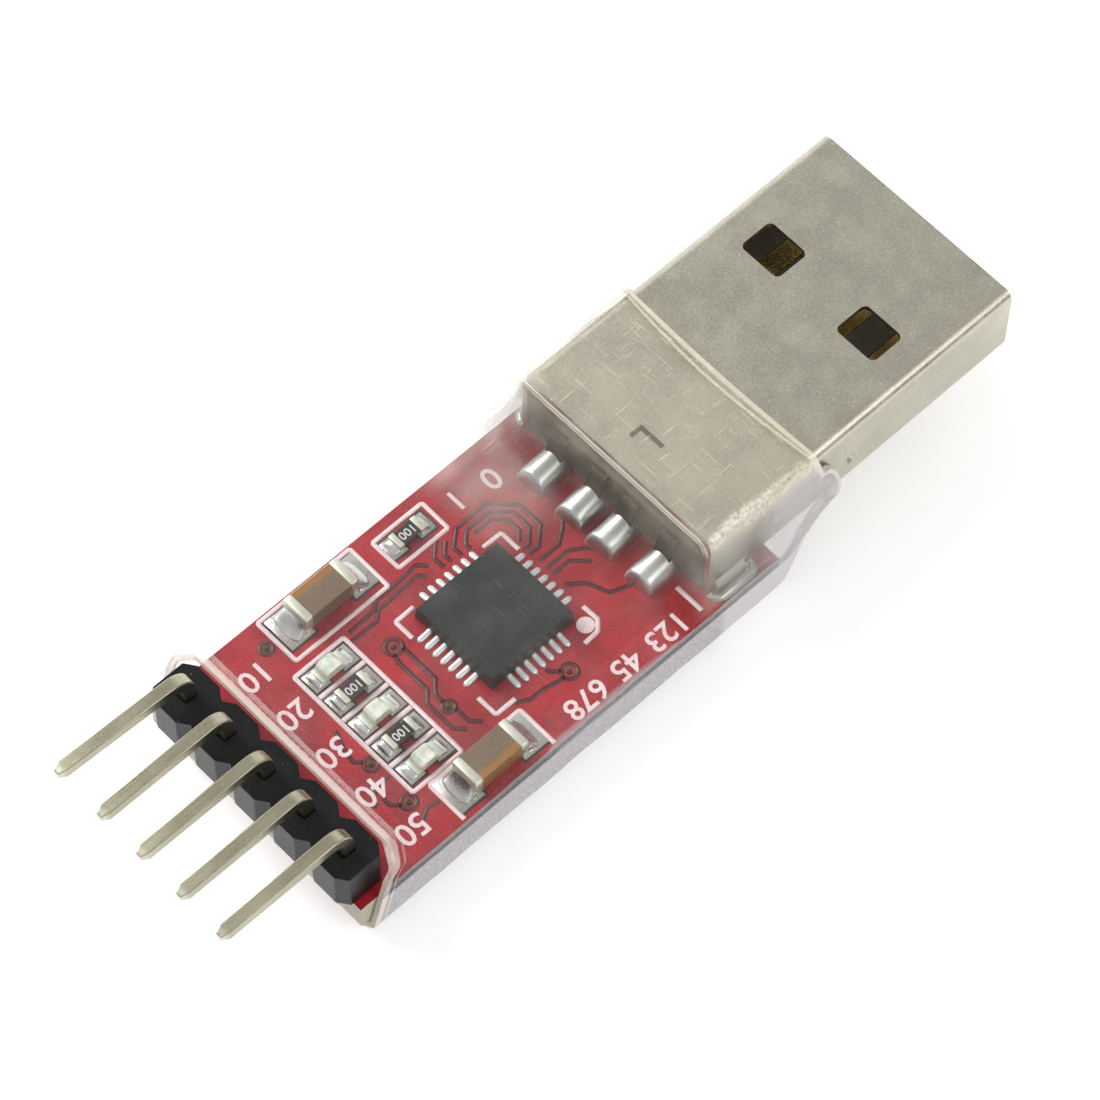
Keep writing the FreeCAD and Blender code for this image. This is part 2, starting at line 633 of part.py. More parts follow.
def make_contact_solder(contacts):
    """A rounded bead over each contact tail."""
    beads = []
    least = SOLDER_CONTACT_LEAST_WIDTH
    for y, contact in zip(CONTACT_YS, contacts):
        wires = []
        for along, share in SOLDER_CONTACT_SECTIONS:
            x = SHELL_REAR_X - SOLDER_CONTACT_REACH + along
            half = SOLDER_CONTACT_WIDTH / 2 * (least + (1 - least) * share)
            height = SOLDER_CONTACT_HEIGHT * share
            arc = Part.Arc(V(x, y - half, 0), V(x, y, height), V(x, y + half, 0)).toShape()
            base = Part.LineSegment(V(x, y + half, 0), V(x, y - half, 0)).toShape()
            wires.append(Part.Wire([arc, base]))
        beads.append(Part.makeLoft(wires, True, True).cut(contact))
    return Part.makeCompound(beads)


def make_pin_solder(pins):
    """A cone of solder round each pin under the board, with the filled hole above it."""
    cones = []
    for y, pin in zip(PIN_YS, pins):
        fill = Part.makeCylinder(BOARD_HOLE_DIAMETER / 2 - SOLDER_FIT_CLEARANCE, BOARD_THICKNESS,
                                 V(HEADER_X, y, BOARD_BOTTOM_Z))
        cone = Part.makeCone(SOLDER_PIN_RADIUS, SOLDER_PIN_TOP_RADIUS, PIN_TAIL * SOLDER_MOUND_SHARE,
                             V(HEADER_X, y, BOARD_BOTTOM_Z), V(0, 0, -1))
        cones.append(fill.fuse(cone).cut(pin))
    return Part.makeCompound(cones)


def make_leg_solder(shell):
    """The filled slot round each leg, with a raised ring on top and a mound below."""
    joints = []
    length = LEG_LENGTH + 2 * LEG_SLOT_CLEARANCE
    width = SHELL_WALL + 2 * LEG_SLOT_CLEARANCE
    mound_z = BOARD_BOTTOM_Z - LEG_PROTRUSION * SOLDER_MOUND_SHARE
    for side in (1, -1):
        fill = leg_slot(-SOLDER_FIT_CLEARANCE, BOARD_BOTTOM_Z, 0, side)
        ring = leg_slot(SOLDER_RING_WIDTH, 0, SOLDER_RING_HEIGHT, side)
        ring = ring.cut(leg_slot(-SOLDER_RING_WIDTH / 4, 0, SOLDER_RING_HEIGHT, side))
        mound = oval_mound(leg_x(), side * leg_y(), length + SOLDER_RING_WIDTH, width + SOLDER_RING_WIDTH,
                           SOLDER_RING_WIDTH / 2, BOARD_BOTTOM_Z, mound_z)
        under_shell = block(SHELL_REAR_X - LEG_LENGTH, SHELL_TIP_X, -SHELL_WIDTH / 2, SHELL_WIDTH / 2,
                            0, SHELL_HEIGHT)
        joints.append(fill.fuse([ring.cut(under_shell), mound]).cut(shell))
    return Part.makeCompound(joints)


def sleeve_section(x, top, corner, side_top, side_half, side_bottom, bottom_half, bottom, crown, grow):
    """One cross section of the sleeve at x, grown outwards by grow."""
    t = grow
    corners = [(-bottom_half - t / 2, bottom - t), (bottom_half + t / 2, bottom - t),
               (side_half + t, side_bottom - t / 3), (side_half + t, side_top + t / 3),
               (corner + t / 2, top + t), (-corner - t / 2, top + t),
               (-side_half - t, side_top + t / 3), (-side_half - t, side_bottom - t / 3)]
    radii = [SLEEVE_CORNER_RADIUS + t / 2] * 8
    bulges = [0] * 8
    bulges[4] = crown
    return rounded_wire(corners, radii, lambda p: V(x, p.x, p.y), bulges)


def sleeve_stations():
    """How the film lies along the module: what it touches at each place fixes its section."""
    gap = SLEEVE_CLEARANCE
    shell_half = SHELL_WIDTH / 2 + gap
    board_half = BOARD_HALF + gap
    shell_top = SHELL_HEIGHT + gap
    under = SLEEVE_INNER_BOTTOM_Z
    hug = SLEEVE_CORNER_CUT
    flat = SLEEVE_TOP_CROWN
    low_side = BOARD_BOTTOM_Z - SLEEVE_BELOW_EDGE
    low_half = board_half - SLEEVE_UNDER_TUCK
    on_plug = (shell_half - hug, shell_top - hug, shell_half, hug, shell_half - hug, -gap)
    beside_shell = (shell_half + gap, SLEEVE_BOARD_RISE, board_half, low_side)
    beside_board = beside_shell + (low_half, under)
    round_board_end = beside_shell + (board_half - SLEEVE_CORNER_RADIUS, low_side - SLEEVE_END_DROP)
    cap_half = max(abs(y) for x, y in CAPACITOR_PLACES) + CAPACITOR_WIDTH / 2 + gap
    cap_top = CAPACITOR_HEIGHT + gap
    open_half = board_half - SLEEVE_EDGE_SLOPE
    chip_top = CHIP_HEIGHT + 2 * gap
    bead_top = SOLDER_CONTACT_HEIGHT + SLEEVE_OVER_BEADS
    behind_shell_top = bead_top + SLEEVE_DROP_FOOT
    over_caps = (cap_half, cap_top * SLEEVE_CAP_SHOULDER, board_half, low_side, low_half, under)
    behind_shell = (open_half, SLEEVE_RISE_BEHIND_SHELL) + over_caps[2:]
    over_chip = (open_half, SLEEVE_RISE_OVER_CHIP) + over_caps[2:]
    header_half = max(board_half, HEADER_HALF_WIDTH + gap)
    at_header = (header_half - SLEEVE_HEADER_CORNER, HEADER_HEIGHT - SLEEVE_HEADER_FALL,
                 header_half) + over_caps[3:]
    header_edge = HEADER_REAR_X + SLEEVE_HEADER_GAP
    drop = SHELL_REAR_X - SLEEVE_DROP_LENGTH
    return [
        (SLEEVE_BOTTOM_END_X + 2 * SLEEVE_OVERRUN, shell_top + gap, on_plug, SLEEVE_LIP_LIFT),
        (SLEEVE_TOP_END_X, shell_top + gap, on_plug, SLEEVE_LIP_LIFT),
        (SLEEVE_TOP_END_X - SLEEVE_LIP_LENGTH, shell_top, on_plug, flat),
        (BOARD_END_X + SLEEVE_TO_BOARD_END, shell_top, on_plug, flat),
        (BOARD_END_X + gap, shell_top, round_board_end, flat),
        (BOARD_END_X - SLEEVE_END_TURN, shell_top, beside_board, flat),
        (SHELL_REAR_X, shell_top, beside_board, flat),
        (SHELL_REAR_X - SLEEVE_DROP_START, shell_top - SLEEVE_OVER_BEADS, beside_board, flat),
        (drop, behind_shell_top, behind_shell, flat),
        (drop - SLEEVE_FOOT_LENGTH, bead_top, over_chip, flat),
        (CHIP_X + CHIP_SIZE / 2, chip_top, over_chip, flat),
        (CHIP_X - CHIP_SIZE / 2, chip_top, over_chip, flat),
        (CAPACITOR_X + CAPACITOR_LENGTH / 2 + gap, cap_top, over_caps, flat),
        (CAPACITOR_X - CAPACITOR_LENGTH / 2 - gap, cap_top, over_caps, flat),
        (header_edge + SLEEVE_HEADER_SLOPE, cap_top, over_caps, flat),
        (header_edge, HEADER_HEIGHT + gap, at_header, flat),
        (HEADER_X - HEADER_DEPTH, HEADER_HEIGHT + gap, at_header, flat),
    ]


def strip_between(near, far):
    """The face between two matching edges: a flat one where all four ends lie in one plane."""
    a, b = [vertex.Point for vertex in near.Vertexes]
    c, d = [vertex.Point for vertex in far.Vertexes]
    straight = near.Curve.TypeId == far.Curve.TypeId == "Part::GeomLine"
    off_plane = abs((b - a).cross(c - a).dot(d - a))
    if straight and off_plane < 1e-9:
        return Part.Face(Part.makePolygon([a, b, d, c, a]))
    return Part.makeRuledSurface(near, far)


def sleeve_skin(grow, overrun):
    """The inner or the outer face of the sleeve as a solid, overrunning both ends."""
    stations = sleeve_stations()
    wires = []
    last = len(stations) - 1
    for i, (x, top, shape, crown) in enumerate(stations):
        shift = overrun if i == 0 else (-overrun if i == last else 0)
        wires.append(sleeve_section(x + shift, top, *shape, crown, grow))
    faces = [Part.Face(wires[0]), Part.Face(wires[-1])]
    for near, far in zip(wires, wires[1:]):
        for near_edge, far_edge in zip(near.Edges, far.Edges):
            faces.append(strip_between(near_edge, far_edge))
    skin = Part.makeShell(faces)
    skin.sewShape()
    solid = Part.makeSolid(skin)
    if solid.Volume < 0:
        solid.reverse()
    return solid.removeSplitter()


def sleeve_end_cutters():
    """What is trimmed off the sleeve: a slanted end at the plug, a curved one round the header."""
    top_z = SHELL_HEIGHT + SLEEVE_TRIM_MARGIN
    low_z = REST_Z - SLEEVE_TRIM_MARGIN
    half = BOARD_WIDTH
    slope = (SLEEVE_BOTTOM_END_X - SLEEVE_TOP_END_X) / SHELL_HEIGHT
    beyond = SHELL_TIP_X + SLEEVE_TRIM_MARGIN
    plug_end = [(SLEEVE_TOP_END_X - slope * SLEEVE_TRIM_MARGIN, top_z), (SLEEVE_BOTTOM_END_X, 0),
                (SLEEVE_BOTTOM_END_X, low_z), (beyond, low_z), (beyond, top_z)]
    front = prism_y(plug_end, [0] * len(plug_end), -half, half)
    edge = HEADER_REAR_X + SLEEVE_HEADER_GAP
    lip = SLEEVE_BOTTOM_SHORT - BOARD_END_X
    behind = HEADER_X - 2 * HEADER_DEPTH
    curve = Part.BSplineCurve()
    curve.interpolate([V(edge + SLEEVE_END_LEAN, -half, top_z),
                       V(edge, -half, HEADER_HEIGHT + SLEEVE_END_LEAN),
                       V(edge - SLEEVE_END_BACK_MIDDLE, -half, HEADER_HEIGHT * SLEEVE_END_MIDDLE_HEIGHT),
                       V(edge - SLEEVE_END_BACK_LOW, -half, -SLEEVE_END_LOW_DEPTH),
                       V(lip, -half, BOARD_BOTTOM_Z - SLEEVE_END_LOW_DEPTH),
                       V(lip - SLEEVE_END_LEAN, -half, low_z)])
    start = curve.StartPoint
    end = curve.EndPoint
    edges = [curve.toShape(), Part.LineSegment(end, V(behind, -half, low_z)).toShape(),
             Part.LineSegment(V(behind, -half, low_z), V(behind, -half, top_z)).toShape(),
             Part.LineSegment(V(behind, -half, top_z), start).toShape()]
    rear = Part.Face(Part.Wire(edges)).extrude(V(0, 2 * half, 0))
    return [front, rear]


def make_sleeve():
    """The clear shrink sleeve, drawn tight over the board and the rear half of the plug."""
    outer = sleeve_skin(SLEEVE_WALL, 0)
    inner = sleeve_skin(0, SLEEVE_OVERRUN)
    return outer.cut(inner).cut(sleeve_end_cutters())


def build():
    """Every piece by its node name."""
    pieces = {}
    pieces["circuit_board"] = make_board()
    pieces["plug_shell"] = make_shell()
    pieces["plug_insulator"] = make_insulator()
    contacts = [make_contact(y) for y in CONTACT_YS]
    pins = [make_pin(y) for y in PIN_YS]
    for i, contact in enumerate(contacts):
        pieces[f"plug_contact_{i + 1}"] = contact
    pieces["header_body"] = make_header()
    for i, pin in enumerate(pins):
        pieces[f"header_pin_{i + 1}"] = pin
    pieces["bridge_chip"] = make_chip()
    pieces["bridge_chip_joints"] = make_chip_joints()
    fillets = []
    for i, (x, y) in enumerate(CAPACITOR_PLACES):
        body, ends = two_end_part(x, y, CAPACITOR_LENGTH, CAPACITOR_WIDTH, CAPACITOR_HEIGHT,
                                  CAPACITOR_END, CAPACITOR_SKIN)
        pieces[f"capacitor_{i + 1}"] = body
        pieces[f"capacitor_{i + 1}_ends"] = ends
        fillets += solder_fillets(x, y, CAPACITOR_LENGTH, CAPACITOR_WIDTH, CAPACITOR_HEIGHT,
                                  CAPACITOR_PAD_REACH)
    resistor_places = [LONE_RESISTOR_PLACE] + LADDER_PLACES[1::2]
    for i, (x, y) in enumerate(resistor_places):
        body, ends = two_end_part(x, y, CHIP_PART_LENGTH, CHIP_PART_WIDTH, RESISTOR_HEIGHT,
                                  RESISTOR_END, RESISTOR_SKIN)
        pieces[f"resistor_{i + 1}"] = body
        pieces[f"resistor_{i + 1}_ends"] = ends
        fillets += solder_fillets(x, y, CHIP_PART_LENGTH, CHIP_PART_WIDTH, RESISTOR_HEIGHT,
                                  CHIP_PART_PAD_REACH)
    for i, (x, y) in enumerate(LADDER_PLACES[::2]):
        plate, ends, lens = make_lamp(x, y)
        pieces[f"lamp_{i + 1}_plate"] = plate
        pieces[f"lamp_{i + 1}_ends"] = ends
        pieces[f"lamp_{i + 1}_lens"] = lens
        fillets += solder_fillets(x, y, CHIP_PART_LENGTH, CHIP_PART_WIDTH, LAMP_BASE_HEIGHT,
                                  CHIP_PART_PAD_REACH)
    pieces["chip_part_solder"] = Part.makeCompound(fillets)
    pieces["contact_solder"] = make_contact_solder(contacts)
    pieces["header_solder"] = make_pin_solder(pins)
    pieces["leg_solder"] = make_leg_solder(pieces["plug_shell"])
    pieces["clear_sleeve"] = make_sleeve()
    return pieces


def main():
    """Write one STEP file for each piece."""
    os.makedirs("parts", exist_ok=True)
    for name, shape in build().items():
        shape = shape.copy()
        shape.translate(ORIGIN * -1)
        shape.exportStep(os.path.join("parts", name + ".step"))
        box = shape.BoundBox
        print(f"{name:22s} solids {len(shape.Solids):3d} valid {shape.isValid()} volume {shape.Volume:9.3f} "
              f"x {box.XMin:7.2f} {box.XMax:7.2f} y {box.YMin:6.2f} {box.YMax:6.2f} "
              f"z {box.ZMin:5.2f} {box.ZMax:5.2f}")


main()
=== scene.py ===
import math
from collections import namedtuple

import bmesh
import bpy
import numpy as np
from bpy.props import FloatProperty, FloatVectorProperty, IntProperty, PointerProperty, StringProperty
from mathutils import Matrix, Vector, noise


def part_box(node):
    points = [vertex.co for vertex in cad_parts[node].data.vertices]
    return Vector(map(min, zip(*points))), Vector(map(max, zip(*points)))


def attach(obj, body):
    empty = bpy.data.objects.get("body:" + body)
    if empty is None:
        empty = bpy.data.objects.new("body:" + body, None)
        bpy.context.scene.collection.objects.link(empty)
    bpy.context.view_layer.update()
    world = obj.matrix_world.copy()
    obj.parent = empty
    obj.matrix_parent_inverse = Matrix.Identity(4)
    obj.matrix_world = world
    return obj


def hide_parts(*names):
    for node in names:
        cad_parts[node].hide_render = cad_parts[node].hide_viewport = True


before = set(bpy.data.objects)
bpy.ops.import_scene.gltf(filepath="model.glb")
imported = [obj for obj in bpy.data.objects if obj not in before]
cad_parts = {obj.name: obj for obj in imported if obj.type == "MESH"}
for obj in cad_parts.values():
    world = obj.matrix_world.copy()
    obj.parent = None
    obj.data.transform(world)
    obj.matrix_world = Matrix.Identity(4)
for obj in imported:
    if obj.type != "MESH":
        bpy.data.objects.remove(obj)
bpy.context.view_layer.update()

bl_info = {
    "name": "USB serial adapter module",
    "version": (1, 0, 0),
    "blender": (4, 5, 0),
    "location": "3D View > Sidebar > Adapter",
    "description": "Dresses a plug to pin header adapter in its clear sleeve",
    "category": "Add Mesh",
}

MM = 0.001
BODY = "root"

board_low, board_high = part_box("circuit_board")
BOARD_MIDDLE_X = (board_low.x + board_high.x) / 2 / MM
BOARD_TOP_Z = board_high.z / MM
BOARD_END_X = board_high.x / MM - BOARD_MIDDLE_X
BOARD_HALF_Y = board_high.y / MM
BOARD_DEEP = (board_high.z - board_low.z) / MM

# The thin trim on the board, in millimetres: how thick it is and how high its middle lies
GAP_THICKNESS = 0.014
GAP_LIFT = 0.004
PRINT_THICKNESS = 0.02
PRINT_LIFT = 0.012
NUMBER_HALF_THICKNESS = 0.006
NUMBER_LIFT = 0.016
# Height of a figure as a share of its font's size
DIGIT_SHARE = 0.7
# Rounding of the cut and moulded edges, in millimetres
MOULDING_ROUNDING = 0.06
CONTACT_ROUNDING = 0.04
PIN_ROUNDING = 0.07
BLOCK_ROUNDING = 0.05
RESISTOR_ROUNDING = 0.03
LAMP_PLATE_ROUNDING = 0.02
# The chip's lands and the pads under the chip parts, in millimetres
LAND_PITCH = 0.5
PAD_THICKNESS = 0.03
PAD_UNDER_PART = 0.4
PAD_GAP = 0.06
# The floor, in metres
FLOOR_HALF_WIDTH = 1.5
FLOOR_GAP = 0.00004


def box_mm(node):
    """Corners of a CAD node in millimetres about the middle of the board's top."""
    shift = Vector((BOARD_MIDDLE_X, 0, BOARD_TOP_Z))
    return [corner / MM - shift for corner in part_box(node)]


def place(x, y, z=0.0):
    """A point in millimetres about the middle of the board's top, as a point of the scene."""
    return Vector((x + BOARD_MIDDLE_X, y, z + BOARD_TOP_Z)) * MM


def srgb(red, green, blue, alpha=1.0):
    """A colour written as 0 to 255 screen values."""
    linear = []
    for value in (red / 255, green / 255, blue / 255):
        linear.append(value / 12.92 if value <= 0.04045 else ((value + 0.055) / 1.055) ** 2.4)
    return (*linear, alpha)


# Node trees

class Wire:
    """An output socket. Arithmetic on it adds Math nodes to its tree."""

    def __init__(self, tree, socket):
        self.tree = tree
        self.socket = socket

    def math(self, operation, *values):
        return self.tree.add("ShaderNodeMath", {"operation": operation}, dict(enumerate(values)))

    def other(self, key):
        """Another output of the same node."""
        return Wire(self.tree, self.socket.node.outputs[key])

    def __add__(self, value):
        return self.math("ADD", self, value)

    def __radd__(self, value):
        return self.math("ADD", value, self)

    def __sub__(self, value):
        return self.math("SUBTRACT", self, value)

    def __rsub__(self, value):
        return self.math("SUBTRACT", value, self)

    def __mul__(self, value):
        return self.math("MULTIPLY", self, value)

    def __rmul__(self, value):
        return self.math("MULTIPLY", value, self)

    def __truediv__(self, value):
        return self.math("DIVIDE", self, value)

    def __rtruediv__(self, value):
        return self.math("DIVIDE", value, self)

    def __pow__(self, value):
        return self.math("POWER", self, value)

    def __rpow__(self, value):
        return self.math("POWER", value, self)

    def __mod__(self, value):
        return self.math("FLOORED_MODULO", self, value)

    def __rmod__(self, value):
        return self.math("FLOORED_MODULO", value, self)

    def absolute(self):
        return self.math("ABSOLUTE", self)

    def sine(self):
        return self.math("SINE", self)

    def floor(self):
        return self.math("FLOOR", self)

    def least(self, value):
        return self.math("MINIMUM", self, value)

    def most(self, value):
        return self.math("MAXIMUM", self, value)

    def between(self, low, high):
        """0 below low and 1 above high, with a smooth step between them."""
        settings = {"interpolation_type": "SMOOTHSTEP"}
        values = {"Value": self, "From Min": low, "From Max": high, "To Min": 0.0, "To Max": 1.0}
        return self.tree.add("ShaderNodeMapRange", settings, values)

    def until(self, low, high):
        """1 below low and 0 above high, with a smooth step between them."""
        return 1.0 - self.between(low, high)


class Tree:
    """A node tree that is written as expressions."""

    def __init__(self, node_tree):
        self.node_tree = node_tree
        node_tree.nodes.clear()

    def add(self, kind, settings=None, values=None, out=0):
        """Adds a node, sets it up, fills its sockets with values or links and gives one output."""
        node = self.node_tree.nodes.new(kind)
        for name, value in (settings or {}).items():
            setattr(node, name, value)
        for key, value in (values or {}).items():
            if isinstance(value, Wire):
                self.node_tree.links.new(value.socket, node.inputs[key])
            else:
                node.inputs[key].default_value = value
        return Wire(self, node.outputs[out]) if node.outputs else None

    def place_on_piece(self):
        return self.add("ShaderNodeTexCoord", out="Object")

    def in_mm(self, x=1, y=1, z=1, turn=0.0):
        """The place on the piece in millimetres, stretched and turned about the upright axis."""
        values = {"Vector": self.place_on_piece(), "Scale": (x / MM, y / MM, z / MM),
                  "Rotation": (0.0, 0.0, turn)}
        return self.add("ShaderNodeMapping", {"vector_type": "POINT"}, values)

    def axes(self, vector):
        split = self.add("ShaderNodeSeparateXYZ", None, {0: vector})
        return split, split.other(1), split.other(2)

    def facing(self):
        """The surface's normal, as three numbers."""
        return self.axes(self.add("ShaderNodeNewGeometry", out="Normal"))

    def noise(self, vector, scale, detail=3.0, roughness=0.5, distortion=0.0):
        values = {"Vector": vector, "Scale": scale, "Detail": detail, "Roughness": roughness,
                  "Distortion": distortion}
        return self.add("ShaderNodeTexNoise", None, values)

    def cells(self, vector, scale):
        """The distance to the nearest of many scattered points."""
        return self.add("ShaderNodeTexVoronoi", {"feature": "F1"}, {"Vector": vector, "Scale": scale})

    def blend(self, factor, first, second):
        settings = {"data_type": "RGBA", "clamp_factor": True}
        return self.add("ShaderNodeMix", settings, {0: factor, 6: first, 7: second}, out=2)

    def bump(self, height, distance, strength=0.5):
        values = {"Height": height, "Distance": distance * MM, "Strength": strength}
        return self.add("ShaderNodeBump", None, values)

    def surface(self, **sockets):
        """The Principled shader, with its sockets named in small letters."""
        values = {}
        for name, value in sockets.items():
            values[name.replace("_", " ").title().replace("Ior", "IOR")] = value
        return self.add("ShaderNodeBsdfPrincipled", None, values)

    def output(self, shader, kind="ShaderNodeOutputMaterial"):
        self.add(kind, None, {"Surface": shader})


def finish(make):
    """Turns a function that adds nodes and gives a shader into one that gives the named material."""
    def made(name, *values, **options):
        material = bpy.data.materials.new(name)
        material.use_nodes = True
        tree = Tree(material.node_tree)
        tree.output(make(tree, *values, **options))
        return material
    return made


def toned(colour, factor, lift=0.0):
    """A darker or lighter form of a colour."""
    return (*(min(1.0, part * factor + lift) for part in colour[:3]), 1.0)


# Finishes

@finish
def mask_finish(t, colour, edge_colour):
    """Solder mask with the weave under it, the sawn laminate at the board's edge, plating in its holes."""
    place_mm = t.in_mm()
    x, y, z = t.axes(place_mm)
    nz = t.facing()[2]
    weave = ((x * 9.0).sine() * 0.5 + 0.5) * ((y * 9.0).sine() * 0.5 + 0.5)
    cloud = t.noise(place_mm, 0.45, 2.0)
    grain = t.noise(place_mm, 14.0, 2.0)
    shade = cloud.between(0.35, 0.65) * 0.6 + weave * 0.2 + grain * 0.2
    mask = t.blend(shade, toned(colour, 0.72), toned(colour, 1.25))
    flat = nz.absolute().between(0.5, 0.8)
    outside = (x - BOARD_MIDDLE_X).absolute().between(BOARD_END_X - 0.06, BOARD_END_X - 0.03)
    outside = outside.most(y.absolute().between(BOARD_HALF_Y - 0.06, BOARD_HALF_Y - 0.03))
    layers = (z * 28.0).sine() * 0.5 + 0.5
    fray = t.noise(t.in_mm(1.5, 1.5, 14), 3.0, 4.0)
    edge = t.blend(layers * 0.35 + fray * 0.65, toned(edge_colour, 0.62), edge_colour)
    side = t.blend(outside, srgb(200, 190, 165), edge)
    height = weave * 0.25 + cloud * 0.5 + (1.0 - flat) * fray
    return t.surface(base_color=t.blend(flat, side, mask), roughness=flat * -0.45 + 0.68 + grain * 0.08,
                     metallic=(1.0 - flat) * (1.0 - outside) * 0.9, coat_weight=flat * 0.35,
                     coat_roughness=0.12, normal=t.bump(height, 0.012))


@finish
def channel_finish(t, colour):
    """The darker mask where there is no copper under it."""
    grain = t.noise(t.in_mm(), 5.0, 4.0)
    return t.surface(base_color=t.blend(grain.between(0.3, 0.7), toned(colour, 0.6), colour),
                     roughness=grain * 0.2 + 0.3, coat_weight=0.1, normal=t.bump(grain, 0.01))


@finish
def print_finish(t, colour):
    """Printed legend, thin in places so that the mask shows through."""
    place_mm = t.in_mm()
    grain = t.noise(place_mm, 9.0, 5.0, 0.7)
    worn = t.noise(place_mm, 1.2, 3.0).between(0.3, 0.75)
    thin = (*(part * factor for part, factor in zip(colour, (0.86, 0.7, 0.72))), 1.0)
    return t.surface(base_color=t.blend(grain.between(0.35, 0.6) * 0.7 + worn * 0.3, thin, colour),
                     roughness=grain * 0.2 + 0.42, normal=t.bump(grain, 0.012, 0.6))


@finish
def metal_finish(t, colour, roughness, grain_size, speckle, wear, pits, depth,
                 streaks=None, painted_shade_before=None, speck_size=0.055, frost=0.0, pale_before=None):
    """Plated or soldered metal, with a cloudy tone, a fine grain and bright specks. Frost makes it paler
    and less like a mirror. Before the given place along the module, where parts lie in shadow, it is
    rougher and painted dark grey as painted shade, and before pale_before it is pale."""
    place_mm = t.in_mm()
    cloud = t.noise(place_mm, 0.55, 3.0)
    grain = t.noise(place_mm, 1.0 / grain_size, 3.0, 0.65)
    spots = t.cells(place_mm, 1.0 / speck_size).until(0.08, 0.19)
    drawn = t.noise(t.in_mm(*streaks), 1.0, 2.0) if streaks else grain
    tone = cloud.between(0.3, 0.7) * wear + drawn.between(0.25, 0.75) * (1 - wear)
    body = t.blend(tone, toned(colour, 1 - speckle * 2.2), toned(colour, 1 + speckle))
    body = t.blend(spots * t.noise(place_mm, 3.0).between(0.4, 0.6) * 0.8, body, toned(colour, 1.5, 0.05))
    rough = roughness + (grain - 0.5) * 0.2 + (cloud - 0.5) * 0.12
    along = t.axes(place_mm)[0]
    # Painted shade: before the given place the colour is painted dark grey, and the surface is also rougher
    if painted_shade_before is not None:
        painted_shade = along.until(painted_shade_before, painted_shade_before + 0.5)
        body = t.blend(painted_shade, body, t.blend(grain, srgb(52, 48, 42), srgb(96, 92, 84)))
        rough = rough + painted_shade * 0.2
    if pale_before is not None:
        body = t.blend(along.until(pale_before, pale_before + 0.35) * 0.4, body, srgb(228, 226, 212))
    height = grain * pits + drawn * (1 - pits) - spots * 0.06
    return t.surface(base_color=body, roughness=rough.most(0.08).least(0.9), metallic=1.0 - frost,
                     normal=t.bump(height, depth, 0.6))


@finish
def moulding_finish(t, colour, roughness, sparkle, grain_size=0.1, depth=0.008, coat=0.0, gloss=0.5):
    """Moulded plastic or resin, with a mottled tone, a fine grain and a few bright dust specks."""
    place_mm = t.in_mm()
    cloud = t.noise(place_mm, 0.7, 3.0)
    grain = t.noise(place_mm, 1.0 / grain_size, 4.0, 0.6)
    mottle = cloud.between(0.3, 0.7) * 0.5 + grain.between(0.3, 0.7) * 0.5
    body = t.blend(mottle, toned(colour, 0.7), toned(colour, 1.35, 0.004))
    dust = t.cells(place_mm, 3.4).until(0.03, 0.07) * t.noise(place_mm, 1.7).between(0.5, 0.6)
    body = t.blend(dust * sparkle, body, srgb(205, 205, 200))
    return t.surface(base_color=body, roughness=roughness + (grain - 0.5) * 0.25, coat_weight=coat,
                     coat_roughness=0.15, specular_ior_level=gloss,
                     normal=t.bump(grain * 0.6 + cloud * 0.4, depth, 0.6))


@finish
def ceramic_finish(t, colour, side_colour, middle_y):
    """Capacitor ceramic, whose outer side is amber where its layers show."""
    place_mm = t.in_mm()
    _, y, z = t.axes(place_mm)
    grain = t.noise(place_mm, 7.0, 4.0)
    cloud = t.noise(place_mm, 1.4, 2.0)
    across = (y - middle_y) * (1 if middle_y > 0 else -1) + (cloud - 0.5) * 0.16
    body = t.blend(grain.between(0.3, 0.7), toned(colour, 0.8), colour)
    stripe = t.blend((z * 60.0).sine() * 0.25 + 0.75, srgb(95, 62, 22), side_colour)
    return t.surface(base_color=t.blend(across.between(0.32, 0.46), body, stripe),
                     roughness=grain * 0.2 + 0.3, coat_weight=0.25, coat_roughness=0.2,
                     normal=t.bump(grain, 0.006))


@finish
def lamp_finish(t, colour):
    """Milky clear resin with a green tint in places."""
    place_mm = t.in_mm()
    cloud = t.noise(place_mm, 2.4, 3.0)
    grain = t.noise(place_mm, 12.0, 2.0)
    tint = t.noise(place_mm, 3.1, 2.0, 0.5, 0.6).between(0.56, 0.74)
    body = t.blend(cloud.between(0.3, 0.7), srgb(196, 203, 188), colour)
    body = t.blend(tint * 0.55, body, srgb(120, 190, 165))
    return t.surface(base_color=body, roughness=grain * 0.15 + 0.18, subsurface_weight=0.25,
                     subsurface_radius=(0.0006, 0.0006, 0.0004), coat_weight=0.6, coat_roughness=0.08,
                     normal=t.bump(cloud, 0.02))


